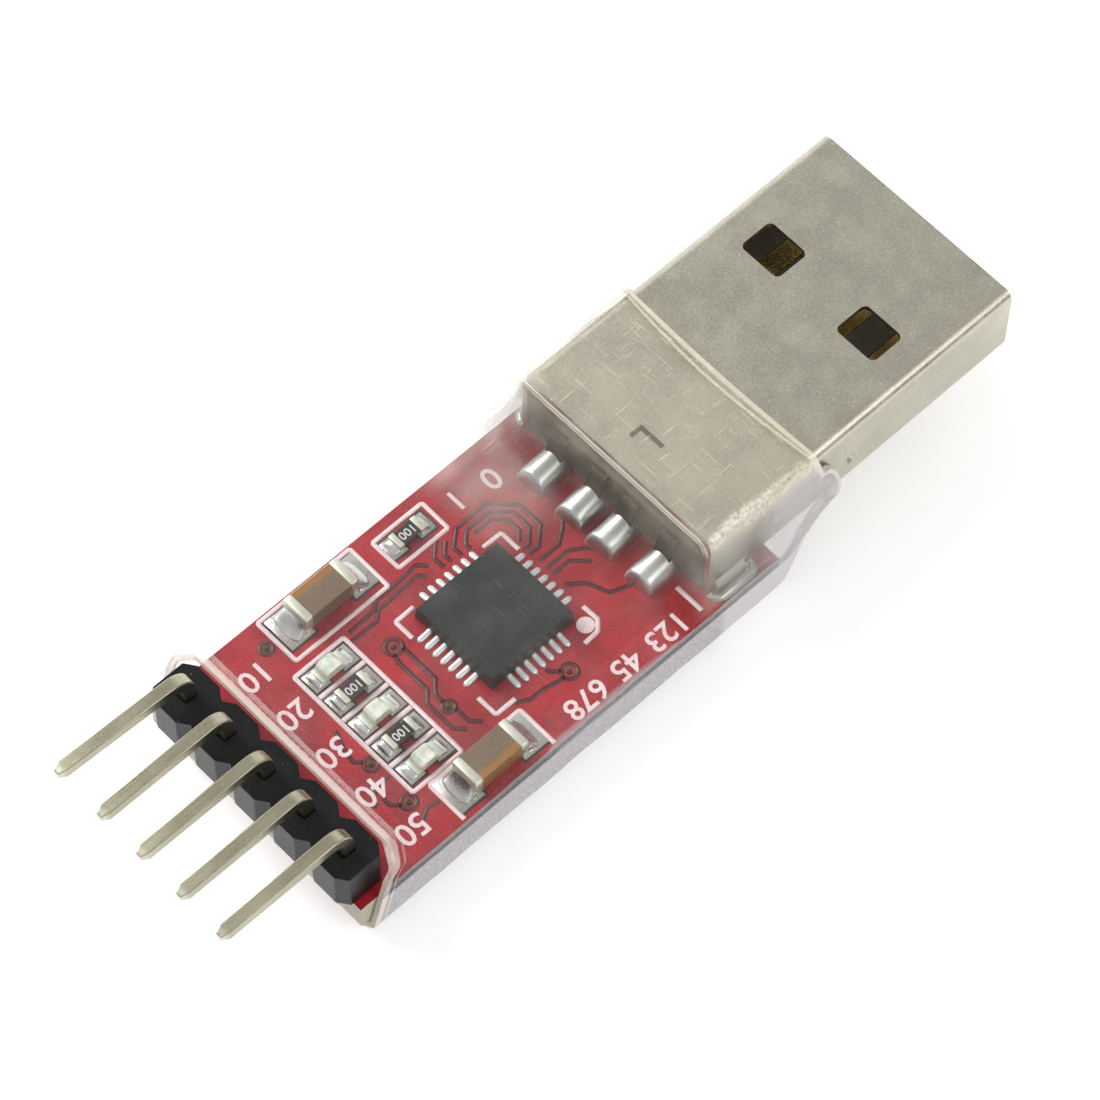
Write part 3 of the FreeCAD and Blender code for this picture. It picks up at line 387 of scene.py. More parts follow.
@finish
def film_finish(t, colour, haze, side_haze, rear_x):
    """Clear film: nearly open from above, milky at its sides and cut ends, with painted highlights at its
    folds and flared lip.
    """
    place_mm = t.in_mm()
    x, y, z = t.axes(place_mm)
    _, ny, nz = t.facing()
    cloud = t.noise(place_mm, 0.5, 4.0)
    fine = t.noise(place_mm, 6.0, 3.0)
    cloudy = cloud.between(0.3, 0.7)
    ragged = (fine - 0.5) * 0.12

    # Places: along the module from the shell's rear edge, past the edge, over the shell, the near side
    along = x - rear_x
    past_edge = along + 0.3
    above = z.between(BOARD_TOP_Z + 3.6, BOARD_TOP_Z + 4.3)
    on_plug = past_edge.between(0.0, 0.4)
    over_plug = on_plug * above
    near = (0.0 - y).between(-0.5, 0.5)

    # The side walls: milky all over beside the board on the near side, and beside the plug
    upright = ny.absolute().between(0.6, 0.92)
    beside_plug = along.between(-0.3, 0.4) * 0.3 + along.between(2.2, 4.4) * 0.65
    wall = ny.absolute().between(0.25, 0.55) * z.until(BOARD_TOP_Z + 0.05, BOARD_TOP_Z + 0.36)
    side = near * (wall * 1.9).most(upright * beside_plug)
    side = side + (1.0 - near) * upright * (beside_plug * 0.8 + 0.06)

    # Behind the shell: the corner, the slope down to the board with painted shade on it, and a painted
    # reflection (the sheen) in front of it
    corner = y.between(4.4, 6.0) * along.between(-2.4, -0.6) * along.until(0.1, 0.9)
    drape_shade = along.between(-1.9, -0.35) * along.until(-0.3, -0.1) * nz.absolute().between(0.05, 0.3)
    sheen = y.between(0.0, 3.5) * along.between(-6.5, -4.0) * along.until(-2.4, -1.2)
    sheen = sheen * z.between(BOARD_TOP_Z - 0.1, BOARD_TOP_Z + 0.35)

    # Painted highlights: two bright lines where the film folds over the shell's rear edge, and a painted
    # glare along its near side
    fold = (past_edge.absolute() + (cloud - 0.5) * 0.06).until(0.01, 0.07)
    fold = fold.most(((past_edge + 0.27).absolute() + (cloud - 0.5) * 0.1).until(0.02, 0.07) * 0.15)
    glare = (y + 5.95 + (cloud - 0.5) * 0.5).absolute().until(0.06, 0.42) * past_edge.between(0.0, 0.5)
    glare = glare * (1.4 - past_edge.between(0.5, 6.0) * 0.6)
    fold = (fold + glare * fine.between(0.3, 0.6) * 0.9) * above

    # Scratches in three directions
    scratch = t.noise(t.in_mm(0.5, 15, 8, 0.9), 1.0, 1.0).between(0.70, 0.76)
    for stretch in ((14, 0.4, 8, 0.35), (11, 0.5, 8, -0.5)):
        scratch = scratch.most(t.noise(t.in_mm(*stretch), 1.0, 1.0).between(0.71, 0.77))
    patch = t.noise(place_mm, 0.35, 2.0).between(0.45, 0.62)
    scratch = scratch * (patch * 0.14 + on_plug * 0.85 + 0.03)

    # The cut ends, each with a paler line some way behind it. At the plug's end the band and the line are
    # painted highlights where the flared lip catches the light
    from_header, from_tip = [t.add("ShaderNodeAttribute", {"attribute_name": name}, out="Fac")
                             for name in ("from_header", "from_tip")]
    header_band = (from_header + ragged).until(0.30, 0.40)
    header_band = header_band.most((from_header - 0.62 + ragged).absolute().until(0.03, 0.10) * 0.6)
    bow = 1.0 - (y.absolute() * 0.16) ** 2.0
    tip_highlight_line = (from_tip - 0.24 - bow * 0.2 + ragged).absolute().until(0.03, 0.09)
    tip_highlight_band = (from_tip + ragged).until(0.14, 0.24).most(tip_highlight_line * above * 0.8)

    alpha = haze + cloud.between(0.35, 0.75) * 0.02 + side * side_haze
    alpha = alpha + over_plug * ((6.0 - y) * 0.004 + cloudy * 0.04 + 0.03)
    alpha = alpha + corner * (cloudy * 0.25 + 0.12) + fold * 0.42 + drape_shade * (cloudy * 0.16 + 0.08)
    alpha = alpha + sheen * (cloud.between(0.25, 0.75) * 0.1 + 0.08)
    alpha = alpha + scratch * 0.45 + header_band * 0.5 + tip_highlight_band * 0.42

    mottled = t.blend(fine.between(0.38, 0.62), srgb(190, 186, 189), srgb(218, 213, 216))
    tint = t.blend(side.most(corner), colour, srgb(232, 227, 229))
    tint = t.blend(wall * near * (1.0 - on_plug), tint, mottled)
    tint = t.blend(over_plug * 0.8, tint, srgb(236, 229, 203))
    # Painted shade: a dark tan haze on the slope behind the shell, which lies in shadow
    tint = t.blend(drape_shade * 0.8, tint, srgb(168, 160, 138))
    # Painted highlight: the fold lines and the glare are tinted near white
    tint = t.blend(fold, tint, srgb(248, 243, 228))
    tint = t.blend(header_band, tint, srgb(240, 226, 216))
    rough = cloud * 0.1 + 0.14 + scratch * 0.3 + side * 0.15
    return t.surface(base_color=tint, roughness=rough, ior=1.9, alpha=alpha.least(0.95),
                     normal=t.bump(cloud * 0.8 + fine * 0.2, 0.03))


@finish
def film_edge_finish(t, colour):
    """The cut ends of the film, which take up the light and look white."""
    grain = t.noise(t.in_mm(), 5.0, 4.0)
    return t.surface(base_color=t.blend(grain.between(0.3, 0.7), colour, toned(colour, 1.12)),
                     roughness=grain * 0.2 + 0.25, alpha=grain * 0.2 + 0.5, ior=1.6,
                     normal=t.bump(grain, 0.02))




@finish
def floor_finish(t, colour):
    """The pale floor. In reflections and through the film it glows a little, as a white room would."""
    path = t.add("ShaderNodeLightPath")
    seen = path.most(path.other("Is Glossy Ray")).most(path.other("Is Transmission Ray"))
    tone = t.blend(t.noise(t.place_on_piece(), 40.0, 2.0), (*colour, 1.0), (0.93, 0.93, 0.93, 1.0))
    return t.surface(base_color=tone, roughness=0.9, emission_color=(1.0, 1.0, 1.0, 1.0),
                     emission_strength=seen * 0.30)


# Meshes

def linked(name, data):
    """A new object of the scene, at the origin."""
    item = bpy.data.objects.new(name, data)
    bpy.context.scene.collection.objects.link(item)
    return item


def applied(item):
    """The mesh that the object's text or modifiers give."""
    bpy.context.view_layer.update()
    graph = bpy.context.evaluated_depsgraph_get()
    return bpy.data.meshes.new_from_object(item.evaluated_get(graph), depsgraph=graph)


def new_mesh(name, points, faces, edges=()):
    mesh = bpy.data.meshes.new(name)
    mesh.from_pydata(points, list(edges), faces)
    mesh.update()
    return mesh


def read_out(shape):
    """Points and faces of a bmesh, which is freed."""
    shape.verts.index_update()
    points = [tuple(vertex.co) for vertex in shape.verts]
    faces = [[vertex.index for vertex in face.verts] for face in shape.faces]
    shape.free()
    return points, faces


def outward(mesh):
    """Turns all faces of closed shells outwards."""
    shape = bmesh.new()
    shape.from_mesh(mesh)
    bmesh.ops.recalc_face_normals(shape, faces=shape.faces)
    shape.to_mesh(mesh)
    shape.free()
    return mesh


def add_piece(name, mesh, *finishes, smooth_angle=38):
    """A piece of the scene, smooth except along its sharp edges."""
    mesh.materials.clear()
    for material in finishes:
        mesh.materials.append(material)
    mesh.shade_smooth()
    mesh.set_sharp_from_angle(angle=math.radians(smooth_angle))
    return linked(name, mesh)


def settle(piece, slot, *nodes):
    """The piece rides on the module's body and stands for the nodes. The slot is not used."""
    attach(piece, BODY)
    if nodes:
        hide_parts(*nodes)


def dress(node, name, slot, rounding, material, segments=2):
    """Stands for the node with its own shape, its doubled corners merged and its sharp edges rounded."""
    shape = bmesh.new()
    shape.from_mesh(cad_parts[node].data)
    bmesh.ops.remove_doubles(shape, verts=shape.verts, dist=0.002 * MM)
    bmesh.ops.dissolve_limit(shape, angle_limit=math.radians(1), verts=shape.verts, edges=shape.edges)
    piece = add_piece(name, new_mesh(name, *read_out(shape)), material)
    ease = piece.modifiers.new("edge rounding", "BEVEL")
    ease.width = rounding * MM
    ease.segments = segments
    ease.limit_method = "ANGLE"
    ease.angle_limit = math.radians(32)
    ease.miter_outer = "MITER_ARC"
    ease.use_clamp_overlap = True
    ease.harden_normals = True
    settle(piece, slot, node)


def joined(name, parts):
    """Several (points, faces) lists in board millimetres as one mesh."""
    points = []
    faces = []
    for part_points, part_faces in parts:
        start = len(points)
        points += [place(*point) for point in part_points]
        faces += [[start + i for i in face] for face in part_faces]
    mesh = new_mesh(name, points, faces)
    mesh.validate()
    return mesh


def shape_piece(name, slot, parts, material, *nodes, smooth_angle=38):
    """Closed shapes, each as points and faces in board millimetres, as one piece that may stand for
    CAD nodes."""
    settle(add_piece(name, outward(joined(name, parts)), material, smooth_angle=smooth_angle), slot, *nodes)


def rounded_block(low, high, radius, steps=3):
    """Points and faces of a box with all its edges rounded."""
    shape = bmesh.new()
    bmesh.ops.create_cube(shape, size=1.0)
    for vertex in shape.verts:
        share = [c + 0.5 for c in vertex.co]
        vertex.co = Vector([a + (b - a) * s for a, b, s in zip(low, high, share)])
    bmesh.ops.bevel(shape, geom=shape.edges[:] + shape.verts[:], offset=radius, segments=steps, profile=0.5,
                    affect="EDGES", clamp_overlap=True)
    return read_out(shape)


def closed_grid(rows):
    """A closed skin over equal rows of points: the rows are rings, and both ends are filled."""
    width = len(rows[0])
    points = [point for row in rows for point in row]
    faces = []
    for r in range(len(rows) - 1):
        for i in range(width):
            a = r * width + i
            b = r * width + (i + 1) % width
            faces.append([a, b, b + width, a + width])
    faces.append(list(range(width))[::-1])
    faces.append([(len(rows) - 1) * width + i for i in range(width)])
    return points, faces


def half_round(x, y, half_width, height, power, steps, skew=0.0):
    """A section across a pool or bead of solder: flat below, and rounder with a lower power."""
    ring = []
    for k in range(steps + 1):
        a = math.pi * k / steps
        z = height * math.sin(a) ** power
        ring.append((x - skew * math.cos(a), y + half_width * math.cos(a), max(0.0, z)))
    return ring


def circle(x, y, radius, steps):
    return [(x + radius * math.cos(2 * math.pi * i / steps), y + radius * math.sin(2 * math.pi * i / steps))
            for i in range(steps)]


# Geometry node groups

def start_group(name, inputs):
    """A geometry node group with these inputs beside its geometry, as (name, kind, default)."""
    group = bpy.data.node_groups.new(name, "GeometryNodeTree")
    identifiers = {}
    for label, kind, default in [("Geometry", "Geometry", None)] + inputs:
        item = group.interface.new_socket(label, in_out="INPUT", socket_type="NodeSocket" + kind)
        if default is not None:
            item.default_value = default
        identifiers[label] = item.identifier
    group.interface.new_socket("Geometry", in_out="OUTPUT", socket_type="NodeSocketGeometry")
    tree = Tree(group)
    return group, identifiers, tree, tree.add("NodeGroupInput")


def end_group(t, geometry, inputs):
    """Makes the copies real, gives them their material and puts them out."""
    geometry = t.add("GeometryNodeRealizeInstances", None, {"Geometry": geometry})
    values = {"Geometry": geometry, "Material": inputs.other("Material")}
    geometry = t.add("GeometryNodeSetMaterial", None, values)
    t.add("NodeGroupOutput", None, {"Geometry": geometry})


def line_group():
    """Raised lines that follow the edges of a mesh."""
    group, identifiers, t, inputs = start_group("raised_lines", [
        ("Width", "Float", 0.0002), ("Thickness", "Float", 0.00002), ("Corner Radius", "Float", 0.00005),
        ("Material", "Material", None)])
    curve = t.add("GeometryNodeMeshToCurve", None, {"Mesh": inputs})
    curve = t.add("GeometryNodeFilletCurve", None, {"Curve": curve, "Radius": inputs.other("Corner Radius")})
    curve = t.add("GeometryNodeSetCurveNormal", {"mode": "Z_UP"}, {"Curve": curve})
    profile = t.add("GeometryNodeCurvePrimitiveQuadrilateral", None,
                    {"Width": inputs.other("Width"), "Height": inputs.other("Thickness")})
    values = {"Curve": curve, "Profile Curve": profile, "Fill Caps": True}
    ribbon = t.add("GeometryNodeCurveToMesh", None, values)
    end_group(t, ribbon, inputs)
    return group, identifiers


def round_group():
    """Copies of a shape on the four sides of a square."""
    group, identifiers, t, inputs = start_group("round_a_square", [
        ("Per Side", "Int", 7), ("Pitch", "Float", 0.0005), ("Centre", "Vector", None),
        ("Material", "Material", None)])
    per_side = inputs.other("Per Side")
    index = t.add("GeometryNodeInputIndex")
    along = ((index % per_side) - (per_side - 1.0) / 2.0) * inputs.other("Pitch")
    turn = (index / per_side).floor() * (math.pi / 2)
    start = t.add("ShaderNodeCombineXYZ", None, {"Y": along})
    spot = t.add("ShaderNodeVectorRotate", {"rotation_type": "Z_AXIS"}, {"Vector": start, "Angle": turn})
    spot = t.add("ShaderNodeVectorMath", {"operation": "ADD"}, {0: spot, 1: inputs.other("Centre")})
    points = t.add("GeometryNodePoints", None, {"Count": per_side * 4.0, "Position": spot})
    turned = t.add("ShaderNodeCombineXYZ", None, {"Z": turn})
    turned = t.add("FunctionNodeEulerToRotation", None, {0: turned})
    copies = t.add("GeometryNodeInstanceOnPoints", None,
                   {"Points": points, "Instance": inputs, "Rotation": turned})
    end_group(t, copies, inputs)
    return group, identifiers


def grow(piece, group_and_identifiers, values):
    """Runs a geometry node group on the piece and keeps the result as its plain mesh."""
    group, identifiers = group_and_identifiers
    modifier = piece.modifiers.new(group.name, "NODES")
    modifier.node_group = group
    for name, value in values.items():
        modifier[identifiers[name]] = value
    mesh = applied(piece)
    piece.modifiers.clear()
    piece.data = mesh
    mesh.name = piece.name


def lines_piece(name, slot, lines, width, thickness, lift, material, below=False):
    """Raised lines through lists of (x, y) points on the board. A list that ends where it starts is
    closed."""
    points = []
    edges = []
    z = -BOARD_DEEP - lift if below else lift
    for line in lines:
        shut = line[0] == line[-1]
        start = len(points)
        kept = line[:-1] if shut else line
        points += [place(x, y, z) for x, y in kept]
        edges += [(start + i, start + i + 1) for i in range(len(kept) - 1)]
        if shut:
            edges.append((start + len(kept) - 1, start))
    piece = linked(name, new_mesh(name, points, [], edges))
    grow(piece, line_group(), {"Width": width * MM, "Thickness": thickness * MM,
                               "Corner Radius": width * 0.3 * MM, "Material": material})
    outward(piece.data)
    settle(piece, slot)


def box_line(x0, x1, y0, y1):
    return [(x0, y0), (x1, y0), (x1, y1), (x0, y1), (x0, y0)]


def ring_line(x, y, radius):
    ring = circle(x, y, radius, 20)
    return ring + ring[:1]


def numbers_piece(name, slot, words, material):
    """Plain numbers as flat raised print. Each is (text, x, y, z, height, turn, face down)."""
    made = bmesh.new()
    for text, x, y, z, height, turn, down in words:
        curve = bpy.data.curves.new(name, "FONT")
        curve.body = text
        curve.size = height * MM / DIGIT_SHARE
        curve.align_x = "CENTER"
        curve.align_y = "CENTER"
        curve.extrude = NUMBER_HALF_THICKNESS * MM
        curve.offset = height * 0.02 * MM
        curve.resolution_u = 3
        number = linked(name, curve)
        mesh = applied(number)
        flip = Matrix.Rotation(math.pi, 4, "X") if down else Matrix.Identity(4)
        mesh.transform(Matrix.Translation(place(x, y, z)) @ Matrix.Rotation(turn, 4, "Z") @ flip)
        made.from_mesh(mesh)
        bpy.data.objects.remove(number)
        bpy.data.curves.remove(curve)
    bmesh.ops.remove_doubles(made, verts=made.verts, dist=0.001 * MM)
    mesh = bpy.data.meshes.new(name)
    made.to_mesh(mesh)
    made.free()
    settle(add_piece(name, mesh, material), slot)


# Settings

def colour_setting(name, description, *screen_values):
    return FloatVectorProperty(name=name, description=description, size=4, default=srgb(*screen_values),
                               subtype="COLOR")


def length_setting(name, description, millimetres):
    return FloatProperty(name=name, description=description, default=millimetres * MM, unit="LENGTH")


def angle_setting(name, description, degrees):
    return FloatProperty(name=name, description=description, default=math.radians(degrees), subtype="ANGLE")


class StageSettings(bpy.types.PropertyGroup):
    azimuth: angle_setting("Azimuth", "Side that the camera stands on", 225.647)
    elevation: angle_setting("Elevation", "Height of the camera above the horizon", 60.958)
    roll: angle_setting("Roll", "Turn of the camera about its own line of sight", 1.031)
    distance: FloatProperty(name="Distance", description="From the camera to the point it looks at",
                            default=0.21492, unit="LENGTH")
    aim: FloatVectorProperty(name="Aim", description="Point that the camera looks at",
                             default=(0.000977, 0.000475, 0.0026), subtype="TRANSLATION")
    lens: FloatProperty(name="Lens", description="Focal length on a 36 mm sensor", default=157.72)
    key_power: FloatProperty(name="Key", description="Power of the main soft lamp", default=1.5, unit="POWER")
    fill_power: FloatProperty(name="Fill", description="Power of the lamp on the camera's side",
                              default=0.6, unit="POWER")
    sky: FloatProperty(name="Sky", description="Strength of the pale surroundings", default=0.66)
    floor_colour: FloatVectorProperty(name="Floor", description="Colour of the floor",
                                      default=(0.9, 0.9, 0.9), subtype="COLOR")


class BoardSettings(bpy.types.PropertyGroup):
    mask_colour: colour_setting("Solder mask", "Colour of the board's face", 160, 26, 38)
    gap_colour: colour_setting("Gaps", "Colour of the mask between the traces", 92, 16, 26)
    edge_colour: colour_setting("Board edge", "Colour of the cut edge", 214, 208, 192)
    print_colour: colour_setting("Print", "Colour of the printed legend", 236, 220, 220)
    print_width: length_setting("Print line", "Width of a printed line", 0.23)
    gap_width: length_setting("Gap line", "Width of a gap beside a trace", 0.22)


class FilmSettings(bpy.types.PropertyGroup):
    colour: colour_setting("Colour", "Tint of the film", 222, 218, 210)
    edge_colour: colour_setting("Cut edge", "Tint of the film's cut ends", 226, 210, 200)
    haze: FloatProperty(name="Haze", description="How milky one face of the film is", default=0.015,
                        min=0.0, max=1.0)
    side_haze: FloatProperty(name="Side haze", description="More haze where the film stands upright",
                             default=0.42, min=0.0, max=1.0)
    wrinkle: length_setting("Wrinkle", "Height of the film's waves", 0.05)


class MetalSettings(bpy.types.PropertyGroup):
    nickel: colour_setting("Nickel", "Colour of the plug shell", 198, 194, 178)
    pin: colour_setting("Pins", "Colour of the header pins", 176, 171, 148)
    solder: colour_setting("Solder", "Colour of the solder", 222, 223, 222)
    plating: colour_setting("End plating", "Colour of the plated ends", 216, 218, 202)
    contact: colour_setting("Contacts", "Colour of the plug contacts", 214, 186, 128)
    rounding: length_setting("Rounding", "Rounding of the shell's folded and cut edges", 0.07)


class PlasticSettings(bpy.types.PropertyGroup):
    header: colour_setting("Header", "Colour of the header body", 11, 12, 14)
    chip: colour_setting("Chip", "Colour of the chip", 24, 28, 31)
    ceramic: colour_setting("Ceramic", "Colour of the capacitors", 118, 98, 78)
    lamp: colour_setting("Lamps", "Colour of the indicator lamps", 230, 233, 220)
    lands_per_side: IntProperty(name="Lands", description="Soldered lands on each side of the chip",
                                default=7, min=1)
    resistor_mark: StringProperty(name="Resistor mark", description="Plain number on the resistors",
                                  default="100")


# Steps

class ADAPTER_OT_stage(bpy.types.Operator):
    """Add the pale floor, the soft light and the camera"""
    bl_idname = "adapter.stage"
    bl_label = "Stage"

    def execute(self, context):
        settings = context.scene.adapter_stage
        level_x = math.cos(settings.azimuth)
        level_y = math.sin(settings.azimuth)
        back = Vector((math.cos(settings.elevation) * level_x, math.cos(settings.elevation) * level_y,
                       math.sin(settings.elevation)))
        level = Vector((-level_y, level_x, 0))
        above = back.cross(level)
        right = level * math.cos(settings.roll) + above * math.sin(settings.roll)
        up = above * math.cos(settings.roll) - level * math.sin(settings.roll)
        data = bpy.data.cameras.new("camera")
        data.lens = settings.lens
        data.sensor_width = 36
        data.clip_start = 0.005
        data.clip_end = 20
        camera = linked("camera", data)
        turn = Matrix((right, up, back)).transposed().to_4x4()
        camera.matrix_world = Matrix.Translation(Vector(settings.aim) + back * settings.distance) @ turn
        context.scene.camera = camera
        context.scene.view_settings.view_transform = "Standard"
        self.add_lamp("key_lamp", (-0.10, 0.34, 0.30), 0.26, settings.key_power)
        self.add_lamp("fill_lamp", (0.10, -0.40, 0.34), 0.30, settings.fill_power)
        self.add_floor(settings)
        self.add_sky(settings)
        return {"FINISHED"}

    def add_lamp(self, name, spot, size, power):
        """A round soft lamp at the spot, which shines at the origin."""
        data = bpy.data.lights.new(name, "AREA")
        data.shape = "DISK"
        data.size = size
        data.energy = power
        lamp = linked(name, data)
        lamp.location = spot
        lamp.rotation_euler = Vector(spot).to_track_quat("Z", "Y").to_euler()

    def add_floor(self, settings):
        low, high, z = -FLOOR_HALF_WIDTH, FLOOR_HALF_WIDTH, -FLOOR_GAP
        corners = [(low, low, z), (high, low, z), (high, high, z), (low, high, z)]
        mesh = new_mesh("floor", corners, [(0, 1, 2, 3)])
        mesh.materials.append(floor_finish("pale_floor", settings.floor_colour))
        linked("floor", mesh)

    def add_sky(self, settings):
        """White for the camera. For the rest a pale dome with a window, a panel and a dark low side."""
        world = bpy.data.worlds.new("pale_room")
        world.use_nodes = True
        t = Tree(world.node_tree)
        x, y, z = t.axes(t.add("ShaderNodeTexCoord", out="Generated"))
        path = t.add("ShaderNodeLightPath")
        window = (x * 0.5 + y * 0.86).between(0.15, 0.7) * z.until(0.4, 0.8) * 1.2
        panel = (0.0 - y).between(0.15, 0.5) * z.between(0.3, 0.5) * z.until(0.8, 0.9) * 0.55
        dark = (0.0 - y).between(0.1, 0.5) * z.until(0.14, 0.36) * 0.7
        dome = z.between(-0.1, 0.75) * 0.24 + 0.62 + window + panel - dark
        strength = t.add("ShaderNodeMix", {"data_type": "FLOAT"}, {0: path, 2: dome * settings.sky, 3: 1.0})
        sky = t.add("ShaderNodeBackground", None, {"Color": (1.0, 1.0, 1.0, 1.0), "Strength": strength})
        t.output(sky, "ShaderNodeOutputWorld")
        bpy.context.scene.world = world


# Lines on the board through (x, y) points: the gaps beside its traces and round its vias, each of
# which is (x, y, radius), and the printed legend
VIAS = [(-2.94, 1.64, 0.4), (-3.18, -2.19, 0.3), (1.88, -4.55, 0.38), (-7.56, -1.95, 0.32),
        (-7.6, -4.41, 0.36), (-7.09, 5.41, 0.3)]
GAP_LINES = [ring_line(*via) for via in VIAS] + [
    [(-2.66, 1.34), (-2.66, -0.75), (-3.2, -1.35), (-3.2, -1.88)],
    [(-3.22, 1.34), (-3.3, 0.9), (-3.3, -0.95), (-3.78, -1.43), (-3.78, -3.1), (-3.35, -3.55)],
    [(-3.02, -2.48), (-3.02, -3.3), (-2.6, -3.75)],
    [(0.96, 3.6), (0.55, 4.0), (-0.62, 3.9), (-1.9, 3.9), (-2.4, 3.55), (-3.9, 3.5)],
    [(0.5, 3.2), (0.3, 3.55), (-0.7, 3.55), (-2.2, 3.45), (-2.6, 3.1), (-4.1, 3.1)],
    [(2.06, 4.3), (1.4, 3.7), (1.4, 3.05)], [(1.85, 3.05), (1.85, 3.5), (2.35, 4.0)],
    [(2.4, 2.95), (2.4, 3.5), (3.15, 4.15), (5.0, 4.15), (6.05, 3.1), (6.05, 1.7), (5.2, 0.95), (4.6, 0.95)],
    [(2.9, 2.95), (2.9, 3.25), (3.4, 3.75), (4.85, 3.75), (5.6, 3.0), (5.6, 1.95), (4.95, 1.3), (4.6, 1.3)],
    [(3.6, 3.4), (4.65, 3.4), (5.15, 2.9), (5.15, 2.15), (4.7, 1.7)],
    [(4.7, 0.4), (5.9, 0.4), (6.55, 0.85), (6.9, 1.2)],
    [(4.7, -0.1), (6.0, -0.1), (6.7, -0.55), (6.95, -0.8)], [(4.7, -0.5), (5.7, -0.5), (6.4, -1.2)],
    [(4.7, -1.2), (5.5, -1.9), (5.9, -2.9), (6.9, -3.3)],
    [(1.6, -4.28), (1.2, -3.95), (1.2, -3.75)], [(1.5, -4.66), (0.4, -4.4), (-0.3, -4.4), (-1.0, -4.0)],
    [(-7.75, -1.65), (-8.05, -1.35), (-7.95, -0.6), (-7.6, 0.35)],
    [(-7.4, -2.9), (-8.2, -2.9), (-8.9, -3.6)], [(-7.95, -4.3), (-8.3, -3.95), (-8.3, -3.5)],
    [(-7.75, -5.45), (-7.2, -5.15), (-6.6, -5.3)],
]
PRINT_LINES = [
    box_line(-0.1, 2.9, 4.4, 6.15), box_line(-6.55, -1.05, 4.05, 6.62),
    [(-6.41, -6.66), (-6.41, -4.43), (-1.03, -4.43), (-1.03, -6.66)],
    box_line(-7.17, -4.25, -4.2, 3.5),
    [(-7.04, 1.98), (-4.38, 1.98)], [(-7.04, 0.46), (-4.38, 0.46)],
    [(-7.04, -1.07), (-4.38, -1.07)], [(-7.04, -2.6), (-4.38, -2.6)],
    [(4.45, 1.45), (4.45, 2.6), (3.35, 2.6)], [(-2.05, 1.4), (-2.05, 2.5), (-0.95, 2.5)],
    [(-1.95, -2.75), (-1.95, -3.9), (-0.8, -3.9)],
    [(8.25, -4.75), (8.25, -6.35)],
    [(4.54, -2.6), (4.58, -3.5), (4.16, -3.95), (3.32, -4.0)],
]
UNDER_GAP_LINES = [
    [(-10.6, 5.1), (-6.0, 5.1), (-3.2, 2.3), (4.0, 2.3), (7.4, 4.9)],
    [(-10.6, 2.55), (-7.3, 2.55), (-4.5, 0.6), (3.2, 0.6), (6.4, 2.2), (9.2, 2.2)],
    [(-10.6, 0.0), (-8.2, 0.0), (-5.6, -1.4), (2.4, -1.4), (5.5, -0.4), (9.2, -0.4)],
    [(-10.6, -2.55), (-8.0, -2.55), (-6.2, -3.6), (3.4, -3.6), (6.2, -2.2), (9.2, -2.2)],
] + [ring_line(x, y, 0.4) for x, y, _ in VIAS]
UNDER_PRINT_LINES = [box_line(-12.45, -10.45, -6.35, 6.35), [(6.6, -5.9), (6.6, 5.9)]]
PIN_YS = [5.08, 2.54, 0.0, -2.54, -5.08]
# Text, x, y and height of the numbers on the top beside those of the pins
LEGEND_NUMBERS = [("1", 4.1, 5.25, 1.05), ("0", 6.03, 5.0, 1.15), ("123", 6.35, -6.02, 1.05),
                  ("45", 3.88, -6.02, 1.05), ("678", 1.45, -6.02, 1.05)]


class ADAPTER_OT_board(bpy.types.Operator):
    """Finish the board with its solder mask, the gaps beside its traces and the printed legend"""
    bl_idname = "adapter.board"
    bl_label = "Board"

    def execute(self, context):
        settings = context.scene.adapter_board
        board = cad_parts["circuit_board"]
        board.data.materials.clear()
        board.data.materials.append(mask_finish("red_solder_mask", tuple(settings.mask_colour),
                                                tuple(settings.edge_colour)))
        gaps = channel_finish("mask_over_gaps", tuple(settings.gap_colour))
        white = print_finish("white_legend_print", tuple(settings.print_colour))
        gap = (settings.gap_width / MM, GAP_THICKNESS, GAP_LIFT, gaps)
        line = (settings.print_width / MM, PRINT_THICKNESS, PRINT_LIFT, white)
        lines_piece("trace_gaps_top", "solder_mask", GAP_LINES, *gap)
        lines_piece("trace_gaps_under", "solder_mask", UNDER_GAP_LINES, *gap, True)
        lines_piece("legend_lines_top", "solder_mask", PRINT_LINES, *line)
        lines_piece("legend_lines_under", "solder_mask", UNDER_PRINT_LINES, *line, True)
        words = [(str(10 * i + 10), -8.4, y - 0.35, NUMBER_LIFT, 1.1, math.pi, False)
                 for i, y in enumerate(PIN_YS)]
        words += [(text, x, y, NUMBER_LIFT, height, math.pi, False) for text, x, y, height in LEGEND_NUMBERS]
        words += [(str(i + 1), -9.3, y, -BOARD_DEEP - NUMBER_LIFT, 1.2, math.pi / 2, True)
                  for i, y in enumerate(PIN_YS)]
        numbers_piece("legend_numbers", "solder_mask", words, white)
        dot = circle(3.98, -3.36, 0.42, 20)
        rows = [[(x, y, z) for x, y in dot] for z in (0.002, 0.022)]
        shape_piece("first_land_mark", "solder_mask", [closed_grid(rows)], white)
        return {"FINISHED"}


